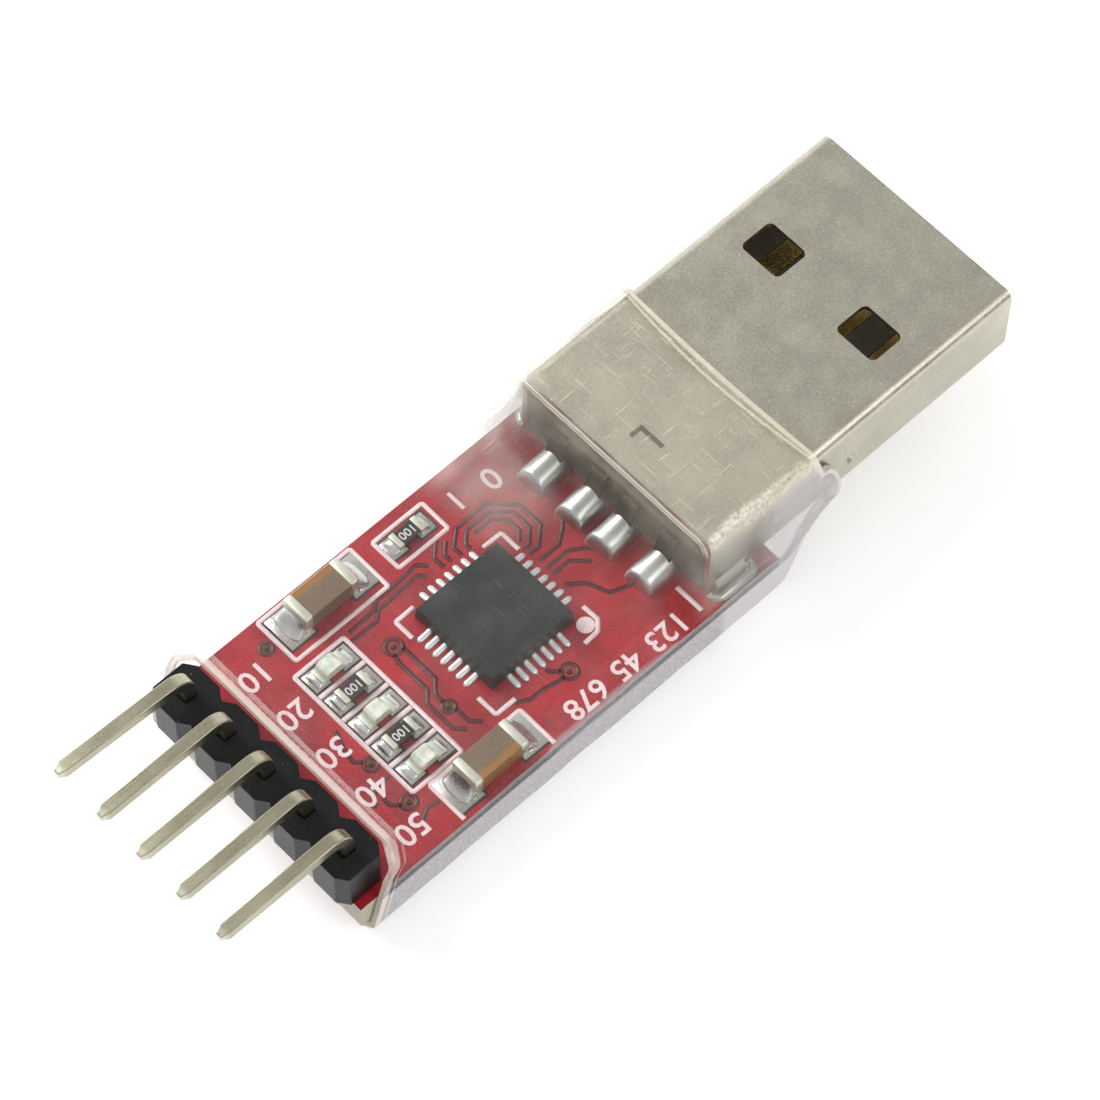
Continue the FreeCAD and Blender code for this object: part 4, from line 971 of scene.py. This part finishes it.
class ADAPTER_OT_plug(bpy.types.Operator):
    """Finish the plug: its shell, the moulded insulator and the four contacts"""
    bl_idname = "adapter.plug"
    bl_label = "Plug"

    def execute(self, context):
        settings = context.scene.adapter_metal
        nickel = metal_finish("nickel_plate", tuple(settings.nickel), roughness=0.34, grain_size=0.12,
                              speckle=0.1, wear=0.4, pits=0.8, depth=0.012, speck_size=0.23)
        dress("plug_shell", "folded_plug_shell", "nickel_shell", settings.rounding / MM, nickel)
        black = moulding_finish("black_plug_moulding", srgb(92, 85, 72), roughness=0.5, sparkle=0.25)
        dress("plug_insulator", "moulded_insulator", "black_moulding", MOULDING_ROUNDING, black)
        shell_rear = box_mm("plug_shell")[0].x + BOARD_MIDDLE_X
        # The contact tails behind the shell's rear lie in shadow, so their colour there is painted shade
        brass = metal_finish("plated_spring_brass", tuple(settings.contact), roughness=0.24,
                             grain_size=0.08, speckle=0.06, wear=0.4, pits=0.5, depth=0.004,
                             streaks=(0.6, 14, 14), painted_shade_before=shell_rear)
        for i in (1, 2, 3, 4):
            dress(f"plug_contact_{i}", f"sprung_contact_{i}", "contact_metal", CONTACT_ROUNDING, brass)
        return {"FINISHED"}


class ADAPTER_OT_header(bpy.types.Operator):
    """Finish the pin header: its moulded body and the five bent pins"""
    bl_idname = "adapter.header"
    bl_label = "Pin header"

    def execute(self, context):
        plastic = context.scene.adapter_plastic
        metal = context.scene.adapter_metal
        black = moulding_finish("black_header_moulding", tuple(plastic.header), roughness=0.36, sparkle=0.8,
                                grain_size=0.14, gloss=0.28)
        dress("header_body", "moulded_header", "header_plastic", MOULDING_ROUNDING, black)
        pin_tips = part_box("header_pin_1")[0].x / MM
        tin = metal_finish("drawn_pin_metal", tuple(metal.pin), roughness=0.3, grain_size=0.09,
                           speckle=0.08, wear=0.35, pits=0.2, depth=0.004,
                           streaks=(0.5, 16, 0.5), speck_size=0.2, pale_before=pin_tips + 0.12)
        for i in (1, 2, 3, 4, 5):
            dress(f"header_pin_{i}", f"bent_pin_{i}", "pin_metal", PIN_ROUNDING, tin, segments=3)
        return {"FINISHED"}


class ADAPTER_OT_chip(bpy.types.Operator):
    """Finish the chip and set its soldered lands round it"""
    bl_idname = "adapter.chip"
    bl_label = "Chip"

    def execute(self, context):
        plastic = context.scene.adapter_plastic
        metal = context.scene.adapter_metal
        resin = moulding_finish("chip_resin", tuple(plastic.chip), roughness=0.42, sparkle=0.12,
                                grain_size=0.07, depth=0.006)
        dress("bridge_chip", "chip_body", "chip_resin", BLOCK_ROUNDING, resin)
        low, high = box_mm("bridge_chip")
        half = (high.x - low.x) / 2
        reach = box_mm("bridge_chip_joints")[1].x - high.x
        solder = metal_finish("land_solder", tuple(metal.solder), roughness=0.36, grain_size=0.1,
                              speckle=0.06, wear=0.5, pits=0.6, depth=0.01, frost=0.55)
        points, faces = self.land(half - 0.02, half + reach)
        piece = linked("chip_lands", new_mesh("chip_lands", [Vector(point) * MM for point in points], faces))
        outward(piece.data)
        piece.data.shade_smooth()
        middle = place((low.x + high.x) / 2, (low.y + high.y) / 2, 0)
        grow(piece, round_group(), {"Per Side": plastic.lands_per_side, "Pitch": LAND_PITCH * MM,
                                    "Centre": middle, "Material": solder})
        settle(piece, "solder", "bridge_chip_joints")
        return {"FINISHED"}

    def land(self, start, end):
        """One pillow of solder from the chip's side down to the end of its land."""
        rows = []
        steps = 9
        for i in range(steps + 1):
            share = i / steps
            swell = math.sin(math.pi * min(1, share * 1.02 + 0.02)) ** 0.4
            height = 0.22 * (1 - share) ** 4 + 0.11 * swell + 0.01
            half = 0.155 * min(1.0, (1.02 - share) * 5) ** 0.5
            rows.append(half_round(start + (end - start) * share, 0.0, half, height, 0.7, 8))
        return closed_grid(rows)


# How the kinds of chip part are mounted and plated. The pads' and the solder's reach is past the
# part's ends, and the solder's climb is a share of the part's height.
ChipPart = namedtuple("ChipPart", "pad_reach pool_reach climb pad_beside end_length end_rounding")
CHIP_PART_KINDS = {
    "capacitor": ChipPart(1.0, 0.75, 0.62, 0.16, 0.5, 0.13),
    "resistor": ChipPart(0.46, 0.36, 0.6, 0.12, 0.3, 0.035),
    "lamp": ChipPart(0.46, 0.36, 0.8, 0.12, 0.3, 0.03),
}
CHIP_PARTS = [(kind, i) for kind, count in (("capacitor", 2), ("resistor", 3), ("lamp", 3))
              for i in range(1, count + 1)]


class ADAPTER_OT_chip_parts(bpy.types.Operator):
    """Finish the capacitors, the resistors and the indicator lamps"""
    bl_idname = "adapter.chip_parts"
    bl_label = "Chip parts"

    def execute(self, context):
        plastic = context.scene.adapter_plastic
        metal = context.scene.adapter_metal
        plating = metal_finish("matt_end_plating", tuple(metal.plating), roughness=0.48, grain_size=0.16,
                               speckle=0.06, wear=0.6, pits=0.7, depth=0.012)
        for i in (1, 2):
            node = f"capacitor_{i}"
            low, high = box_mm(node)
            ceramic = ceramic_finish("layered_ceramic", tuple(plastic.ceramic), srgb(150, 104, 40),
                                     (low.y + high.y) / 2)
            dress(node, f"capacitor_block_{i}", "capacitor_ceramic", BLOCK_ROUNDING, ceramic)
            self.plate_ends("capacitor", i, plating)
        coat = moulding_finish("resistor_coat", srgb(26, 27, 27), roughness=0.3, sparkle=0.0,
                               grain_size=0.08, depth=0.006, coat=0.5)
        white = print_finish("resistor_print", srgb(205, 208, 200))
        words = []
        for i in (1, 2, 3):
            node = f"resistor_{i}"
            low, high = box_mm(node)
            dress(node, f"resistor_block_{i}", "resistor_coat", RESISTOR_ROUNDING, coat)
            self.plate_ends("resistor", i, plating)
            words.append((plastic.resistor_mark, (low.x + high.x) / 2, (low.y + high.y) / 2, high.z + 0.005,
                          0.42, math.pi, False))
        numbers_piece("resistor_numbers", "resistor_coat", words, white)
        resin = lamp_finish("milky_lamp_resin", tuple(plastic.lamp))
        plate = moulding_finish("lamp_plate", srgb(206, 210, 190), roughness=0.5, sparkle=0.0,
                                grain_size=0.12, depth=0.01)
        for i in (1, 2, 3):
            dress(f"lamp_{i}_plate", f"lamp_base_{i}", "lamp_plate", LAMP_PLATE_ROUNDING, plate)
            self.plate_ends("lamp", i, plating)
            dress(f"lamp_{i}_lens", f"lamp_block_{i}", "lamp_lens", BLOCK_ROUNDING, resin)
        self.add_pads()
        return {"FINISHED"}

    def plate_ends(self, kind, i, material):
        """Both plated ends of a chip part, each a rounded cap."""
        node = f"{kind}_{i}_ends"
        low, high = box_mm(node)
        part = CHIP_PART_KINDS[kind]
        caps = []
        for x0, x1 in ((low.x, low.x + part.end_length), (high.x - part.end_length, high.x)):
            caps.append(rounded_block((x0, low.y, low.z), (x1, high.y, high.z), part.end_rounding))
        shape_piece(f"{kind}_plating_{i}", "end_plating", caps, material, node)

    def add_pads(self):
        """Tinned pads under the chip parts, each with the bare gap round it."""
        tinned = metal_finish("tinned_pads", srgb(196, 194, 186), roughness=0.3, grain_size=0.2,
                              speckle=0.1, wear=0.7, pits=0.5, depth=0.02)
        gaps = channel_finish("bare_pad_gaps", srgb(66, 46, 46))
        blocks = []
        outlines = []
        for kind, i in CHIP_PARTS:
            part = CHIP_PART_KINDS[kind]
            low, high = box_mm(f"{kind}_{i}_ends")
            y0, y1 = low.y - part.pad_beside, high.y + part.pad_beside
            for x0, x1 in ((low.x - part.pad_reach, low.x + PAD_UNDER_PART),
                           (high.x - PAD_UNDER_PART, high.x + part.pad_reach)):
                blocks.append(rounded_block((x0, y0, 0.0), (x1, y1, PAD_THICKNESS), radius=0.012, steps=2))
                outlines.append(box_line(x0 - PAD_GAP, x1 + PAD_GAP, y0 - PAD_GAP, y1 + PAD_GAP))
        shape_piece("chip_part_pads", "solder", blocks, tinned)
        lines_piece("pad_gaps", "solder_mask", outlines, width=0.13, thickness=GAP_THICKNESS, lift=0.006,
                    material=gaps)


# The raised rim of solder round each leg of the plug shell
LEG_RIM = [(9.05, 6.15), (9.25, 6.5), (11.3, 6.5), (11.5, 6.15)]
CONTACT_YS = [3.5, 1.0, -1.0, -3.5]
# How far the beads run on past the solder of the CAD
BEAD_EXTRA = 0.22


class ADAPTER_OT_solder(bpy.types.Operator):
    """Shape the solder: pools at the chip parts, beads on the plug contacts, cones and mounds below"""
    bl_idname = "adapter.solder"
    bl_label = "Solder"

    def execute(self, context):
        metal = context.scene.adapter_metal
        bright = metal_finish("bright_solder", tuple(metal.solder), roughness=0.25, grain_size=0.16,
                              speckle=0.07, wear=0.6, pits=0.5, depth=0.014)
        satin = metal_finish("satin_solder", srgb(206, 208, 204), roughness=0.36, grain_size=0.2,
                             speckle=0.08, wear=0.7, pits=0.5, depth=0.012)
        pools = []
        for kind, i in CHIP_PARTS:
            low, high = box_mm(f"{kind}_{i}_ends")
            part = CHIP_PART_KINDS[kind]
            climb = (high.z - low.z) * part.climb
            for side, x in ((-1, low.x), (1, high.x)):
                pools.append(self.pool(x, side, low.y, high.y, part.pool_reach, climb))
        shape_piece("chip_part_pools", "solder", pools, bright, "chip_part_solder", smooth_angle=60)
        low, high = box_mm("contact_solder")
        beads = [self.bead(low.x, high.x + BEAD_EXTRA, y, high.z) for y in CONTACT_YS]
        shape_piece("contact_beads", "solder", beads, satin, "contact_solder", smooth_angle=75)
        low, high = box_mm("header_solder")
        cones = [self.cone((low.x + high.x) / 2, y, low.z) for y in PIN_YS]
        shape_piece("pin_cones", "solder", cones, bright, "header_solder", smooth_angle=60)
        dress("leg_solder", "leg_joints", "solder", BLOCK_ROUNDING, bright, segments=3)
        loops = [[(x, side * y) for x, y in LEG_RIM] for side in (1, -1)]
        lines_piece("leg_rims", "solder", loops, width=0.3, thickness=0.2, lift=0.12, material=satin)
        return {"FINISHED"}

    def pool(self, x, side, y0, y1, reach, climb):
        """A pool of solder, concave below the plated end and rounded at its toe."""
        rows = []
        middle = (y0 + y1) / 2
        steps = 12
        for i in range(steps + 1):
            share = i / steps
            arch = math.sin(math.pi * share)
            height = climb * (1 - share) ** 2.4 + 0.16 * climb ** 0.3 * arch ** 0.8
            height += 0.02 * noise.noise(Vector((x * 3.1, middle * 2.3, share * 2)))
            half = (y1 - y0) / 2 * (1.0 + 0.05 * arch) * min(1.0, (1.03 - share) * 3.5) ** 0.45
            rows.append(half_round(x + side * (reach * share - 0.02), middle, half, height, 0.45, 12))
        return closed_grid(rows)

    def bead(self, x0, x1, y, top):
        """A thick bar of solder over a contact tail, with a blunt free end."""
        rows = []
        steps = 26
        for i in range(steps + 1):
            share = i / steps
            end = min(1.0, share * 5.5 + 0.02)
            rise = (1 - (1 - end) ** 2) ** 0.5
            shoulder = min(1.0, (1 - share) * 9 + 0.02)
            fall = (1 - (1 - shoulder) ** 2) ** 0.5
            height = top * rise * (1 + 0.55 * share) * (0.55 + 0.45 * fall)
            half = 0.80 * (0.84 + 0.16 * rise) * (0.8 + 0.2 * fall)
            lean = 0.04 * noise.noise(Vector((y * 1.7, share * 2.2, 0.4)))
            x = x0 - 0.03 + (x1 - x0 + 0.03) * share
            rows.append(half_round(x, y + lean, half, height, 0.8, 20, 0.08 * (1 - rise)))
        return closed_grid(rows)

    def cone(self, x, y, tip_z):
        """A concave cone round a pin under the board, with the filled hole above it."""
        base = -BOARD_DEEP
        rise = (base - tip_z) * 0.8
        profile = [(0.34, base + 0.9), (0.49, base + 0.9), (0.49, base), (0.8, base - 0.01)]
        profile += [(0.8 - 0.42 * s ** 0.55, base - 0.02 - rise * s) for s in [k / 8 for k in range(1, 9)]]
        profile += [(0.3, base - rise - 0.03)]
        return closed_grid([[(*spot, z) for spot in circle(x, y, radius, 28)] for radius, z in profile])


# How the film lies along the module. Each row has the place along the board, the top, the half
# width of the top, the top of the side wall, the half width of the side wall, the bottom of the
# side wall, the half width of the bottom, the bottom, and the crown of the top.
FILM_ROWS = [
    (-14.41, 2.55, 5.95, 1.90, 6.85, -1.75, 6.20, -2.30, 0.02),
    (-10.35, 2.55, 5.95, 1.90, 6.85, -1.75, 6.20, -2.30, 0.02),
    (-7.45, 1.20, 6.35, 0.54, 6.85, -1.75, 6.20, -2.30, 0.02),
    (-2.08, 1.20, 6.35, 0.54, 6.85, -1.75, 6.20, -2.30, 0.02),
    (-1.25, 1.00, 5.55, 0.15, 6.85, -1.75, 6.20, -2.30, 0.02),
    (3.75, 1.00, 5.55, 0.15, 6.85, -1.75, 6.20, -2.30, 0.02),
    (6.14, 1.13, 5.55, 0.25, 6.85, -1.75, 6.20, -2.30, 0.02),
    (7.24, 1.55, 5.45, 0.75, 6.85, -1.75, 6.20, -2.30, 0.02),
    (8.25, 4.00, 5.45, 0.95, 6.85, -1.75, 6.20, -2.30, 0.02),
    (8.60, 4.50, 5.60, 0.95, 6.85, -1.75, 6.20, -2.30, 0.02),
    (8.98, 4.55, 5.82, 0.75, 6.85, -1.75, 6.20, -2.30, 0.02),
    (9.60, 4.55, 5.95, 0.45, 6.85, -1.75, 6.20, -2.30, 0.02),
    (11.90, 4.55, 6.00, 0.10, 6.85, -1.75, 6.20, -2.30, 0.02),
    (12.65, 4.55, 6.00, 0.30, 6.85, -1.75, 6.55, -1.95, 0.02),
    (13.30, 4.55, 5.95, 0.90, 6.75, -1.00, 6.40, -1.20, 0.02),
    (14.20, 4.55, 5.85, 1.80, 6.50, -0.20, 6.20, -0.40, 0.02),
    (14.70, 4.55, 5.80, 2.40, 6.40, 0.00, 6.10, -0.20, 0.08),
    (15.49, 4.60, 5.80, 3.60, 6.20, 0.20, 5.90, -0.05, 0.40),
    (16.50, 4.60, 5.80, 4.30, 6.05, 0.25, 5.80, -0.05, 0.40),
    (18.09, 4.60, 5.80, 4.30, 6.05, 0.25, 5.80, -0.05, 0.40),
]
# Where the film ends at the header and on the plug, as (height, place along the board)
HEADER_END = [(-3.6, -12.35), (-2.0, -12.25), (-0.4, -11.8), (1.375, -11.35), (2.6, -10.5), (7.5, -10.42)]
PLUG_END = [(-0.4, 16.5), (-0.15, 16.62), (0.2, 16.8), (0.7, 16.9), (1.4, 16.85), (2.6, 16.5), (3.8, 15.95),
            (4.5, 15.49), (7.5, 14.42)]
# Places just inside both ends, at which a point's height is read to find its end
NEAR_HEADER_X = -12.5
NEAR_PLUG_X = 16.5
FILM_WALL = 0.3
FILM_CORNER = 0.3
# Steps round each corner, along each side from the bottom round by +Y, and along the module
FILM_CORNER_STEPS = 4
FILM_SIDE_STEPS = [16, 3, 8, 6, 34, 6, 8, 3]
FILM_LENGTH_STEPS = 190
# The side that bears the crown, and the height below which the film lies flat
TOP_SIDE = 4
FLAT_BELOW = -1.9


class ADAPTER_OT_film(bpy.types.Operator):
    """Draw the clear shrink sleeve over the board and the rear of the plug"""
    bl_idname = "adapter.film"
    bl_label = "Film sleeve"

    def execute(self, context):
        settings = context.scene.adapter_film
        self.rows = np.array(FILM_ROWS)
        self.shell_rear = box_mm("plug_shell")[0].x
        outer = self.skin(FILM_WALL)
        inner = self.skin(0.0)
        away = outer - inner
        away /= np.maximum(np.linalg.norm(away, axis=2, keepdims=True), 1e-6)
        lift = away * self.waves(outer, settings.wrinkle / MM)[:, :, None]
        outer += lift
        inner += lift
        limit = self.rows[:, 4].max() + FILM_WALL
        outer[:, :, 1] = np.clip(outer[:, :, 1], -limit, limit)
        mesh, rim_faces = self.shut(outer, inner)
        clear = film_finish("clear_film", tuple(settings.colour), settings.haze, settings.side_haze,
                            self.shell_rear + BOARD_MIDDLE_X)
        edge = film_edge_finish("cut_film_edge", tuple(settings.edge_colour))
        piece = add_piece("shrink_film", mesh, clear, edge, smooth_angle=50)
        for i in rim_faces:
            mesh.polygons[i].material_index = 1
        for name, near_end in (("from_header", outer[:1, :, 0]), ("from_tip", outer[-1:, :, 0])):
            distance = np.abs(outer[:, :, 0] - near_end).ravel()
            layer = mesh.attributes.new(name, "FLOAT", "POINT")
            layer.data.foreach_set("value", np.tile(distance, 2).astype(np.float32))
        settle(piece, "clear_film", "clear_sleeve")
        return {"FINISHED"}

    def column(self, x, k):
        """One figure of the film's section at each x, with the bends between rows eased."""
        total = 0
        for shift in (-0.16, 0.0, 0.16):
            total = total + np.interp(x + shift, self.rows[:, 0], self.rows[:, k])
        return total / 3

    def corners(self, x, wall):
        """The section's eight corners, each as (y, z) at every x, from the bottom round by +Y."""
        top, half_top, side_top, side, side_low, half_low, low = [self.column(x, k) for k in range(1, 8)]
        a = (half_low + wall / 2, low - wall)
        b = (side + wall, side_low - wall / 3)
        c = (side + wall, side_top + wall / 3)
        d = (half_top + wall / 2, top + wall)
        right = [a, b, c, d]
        left = [(-y, z) for y, z in right]
        return left[:1] + right + left[:0:-1]

    def arc(self, spots, i, share, radius):
        """A point on the arc that rounds corner i."""
        here = np.stack(spots[i])
        last = np.stack(spots[i - 1]) - here
        following = np.stack(spots[(i + 1) % 8]) - here
        last = last / np.linalg.norm(last, axis=0)
        following = following / np.linalg.norm(following, axis=0)
        half = np.arccos(np.clip((last * following).sum(axis=0), -1, 1)) / 2
        setback = radius / np.tan(half)
        middle = last + following
        middle = middle / np.maximum(np.linalg.norm(middle, axis=0), 1e-9)
        centre = here + middle * (radius / np.sin(half))
        start = here + last * setback - centre
        end = here + following * setback - centre
        mix = start * (1 - share) + end * share
        return centre + mix / np.linalg.norm(mix, axis=0) * radius

    def point(self, x, corner, arc_share, side_share, wall):
        """A point of the section: on the arc of a corner, or a share of the way to the next corner."""
        spots = self.corners(x, wall)
        radius = FILM_CORNER + wall / 2
        if arc_share is not None:
            return self.arc(spots, corner, arc_share, radius)
        begin = self.arc(spots, corner, 1.0, radius)
        end = self.arc(spots, (corner + 1) % 8, 0.0, radius)
        spot = begin * (1 - side_share) + end * side_share
        if corner == TOP_SIDE:
            spot[1] = spot[1] + self.column(x, 8) * 4 * side_share * (1 - side_share)
        return spot

    def skin(self, wall):
        """The film's inner or outer face, as rows of points along it."""
        stops = []
        for corner, steps in enumerate(FILM_SIDE_STEPS):
            stops += [(corner, k / FILM_CORNER_STEPS, None) for k in range(FILM_CORNER_STEPS + 1)]
            stops += [(corner, None, k / steps) for k in range(1, steps)]
        share = np.linspace(0, 1, FILM_LENGTH_STEPS + 1)
        skin = np.zeros((len(share), len(stops), 3))
        header_z, header_x = np.array(HEADER_END).T
        plug_z, plug_x = np.array(PLUG_END).T
        for j, stop in enumerate(stops):
            low_z = self.point(np.array([NEAR_HEADER_X]), *stop, wall)[1]
            high_y, high_z = self.point(np.array([NEAR_PLUG_X]), *stop, wall)
            bow = 0.1 * np.clip(high_z - 4.0, 0, 0.6) / 0.6 * (1 - (high_y / 6.3) ** 2)
            x0 = np.interp(low_z, header_z, header_x)
            x1 = np.interp(high_z, plug_z, plug_x) - bow
            x = x0 + (x1 - x0) * share
            skin[:, j, 0] = x
            skin[:, j, 1:] = self.point(x, *stop, wall).T
        return skin

    def waves(self, skin, height):
        """How far the film stands off at each point: low waves, and folds where it steps down."""
        waves = np.zeros(skin.shape[:2])
        for r, j in np.ndindex(waves.shape):
            x, y, z = skin[r, j]
            if z < FLAT_BELOW:
                continue
            slow = noise.noise(Vector((x * 0.42, y * 0.5, z * 0.5 + 3.0)))
            quick = noise.noise(Vector((x * 1.3 + 7.0, y * 1.1, z * 1.1)))
            step = math.exp(-((x - self.shell_rear + 1.0) / 1.6) ** 2)
            fold = abs(noise.noise(Vector((x * 0.5, y * 1.9 + 4.0, 1.0)))) * step
            waves[r, j] = max(0.0, 0.5 + slow * 0.7 + quick * 0.3 + fold * 1.6) * height
        return waves

    def shut(self, outer, inner):
        """Both skins and the cut ends between them as one closed mesh."""
        rows, width = outer.shape[:2]
        points = [place(*point) for skin in (outer, inner) for point in skin.reshape(-1, 3)]
        offset = rows * width
        last = offset - width
        faces = []
        for r in range(rows - 1):
            for j in range(width):
                a = r * width + j
                b = r * width + (j + 1) % width
                faces.append((a, b, b + width, a + width))
                faces.append((offset + b, offset + a, offset + a + width, offset + b + width))
        first_rim = len(faces)
        for j in range(width):
            k = (j + 1) % width
            faces.append((offset + j, offset + k, k, j))
            faces.append((last + j, last + k, offset + last + k, offset + last + j))
        return outward(new_mesh("shrink_film", points, faces)), range(first_rim, len(faces))


class ADAPTER_PT_panel(bpy.types.Panel):
    """Lists the steps that build the adapter"""
    bl_idname = "ADAPTER_PT_panel"
    bl_label = "Adapter"
    bl_space_type = "VIEW_3D"
    bl_region_type = "UI"
    bl_category = "Adapter"

    def draw(self, context):
        for step in STEPS:
            self.layout.operator(step.bl_idname)
        for group in GROUPS:
            settings = getattr(context.scene, group)
            for name in settings.__annotations__:
                self.layout.prop(settings, name)


GROUPS = {
    "adapter_stage": StageSettings,
    "adapter_board": BoardSettings,
    "adapter_film": FilmSettings,
    "adapter_metal": MetalSettings,
    "adapter_plastic": PlasticSettings,
}
STEPS = [ADAPTER_OT_stage, ADAPTER_OT_board, ADAPTER_OT_plug, ADAPTER_OT_header, ADAPTER_OT_chip,
         ADAPTER_OT_chip_parts, ADAPTER_OT_solder, ADAPTER_OT_film]


def register():
    for group in GROUPS.values():
        bpy.utils.register_class(group)
    for name, group in GROUPS.items():
        setattr(bpy.types.Scene, name, PointerProperty(type=group))
    for step in STEPS:
        bpy.utils.register_class(step)
    bpy.utils.register_class(ADAPTER_PT_panel)


def unregister():
    bpy.utils.unregister_class(ADAPTER_PT_panel)
    for step in reversed(STEPS):
        bpy.utils.unregister_class(step)
    for name in GROUPS:
        delattr(bpy.types.Scene, name)
    for group in reversed(list(GROUPS.values())):
        bpy.utils.unregister_class(group)


def main():
    register()
    bpy.ops.adapter.stage()
    bpy.ops.adapter.board()
    bpy.ops.adapter.plug()
    bpy.ops.adapter.header()
    bpy.ops.adapter.chip()
    bpy.ops.adapter.chip_parts()
    bpy.ops.adapter.solder()
    bpy.ops.adapter.film()


if __name__ == "__main__":
    main()
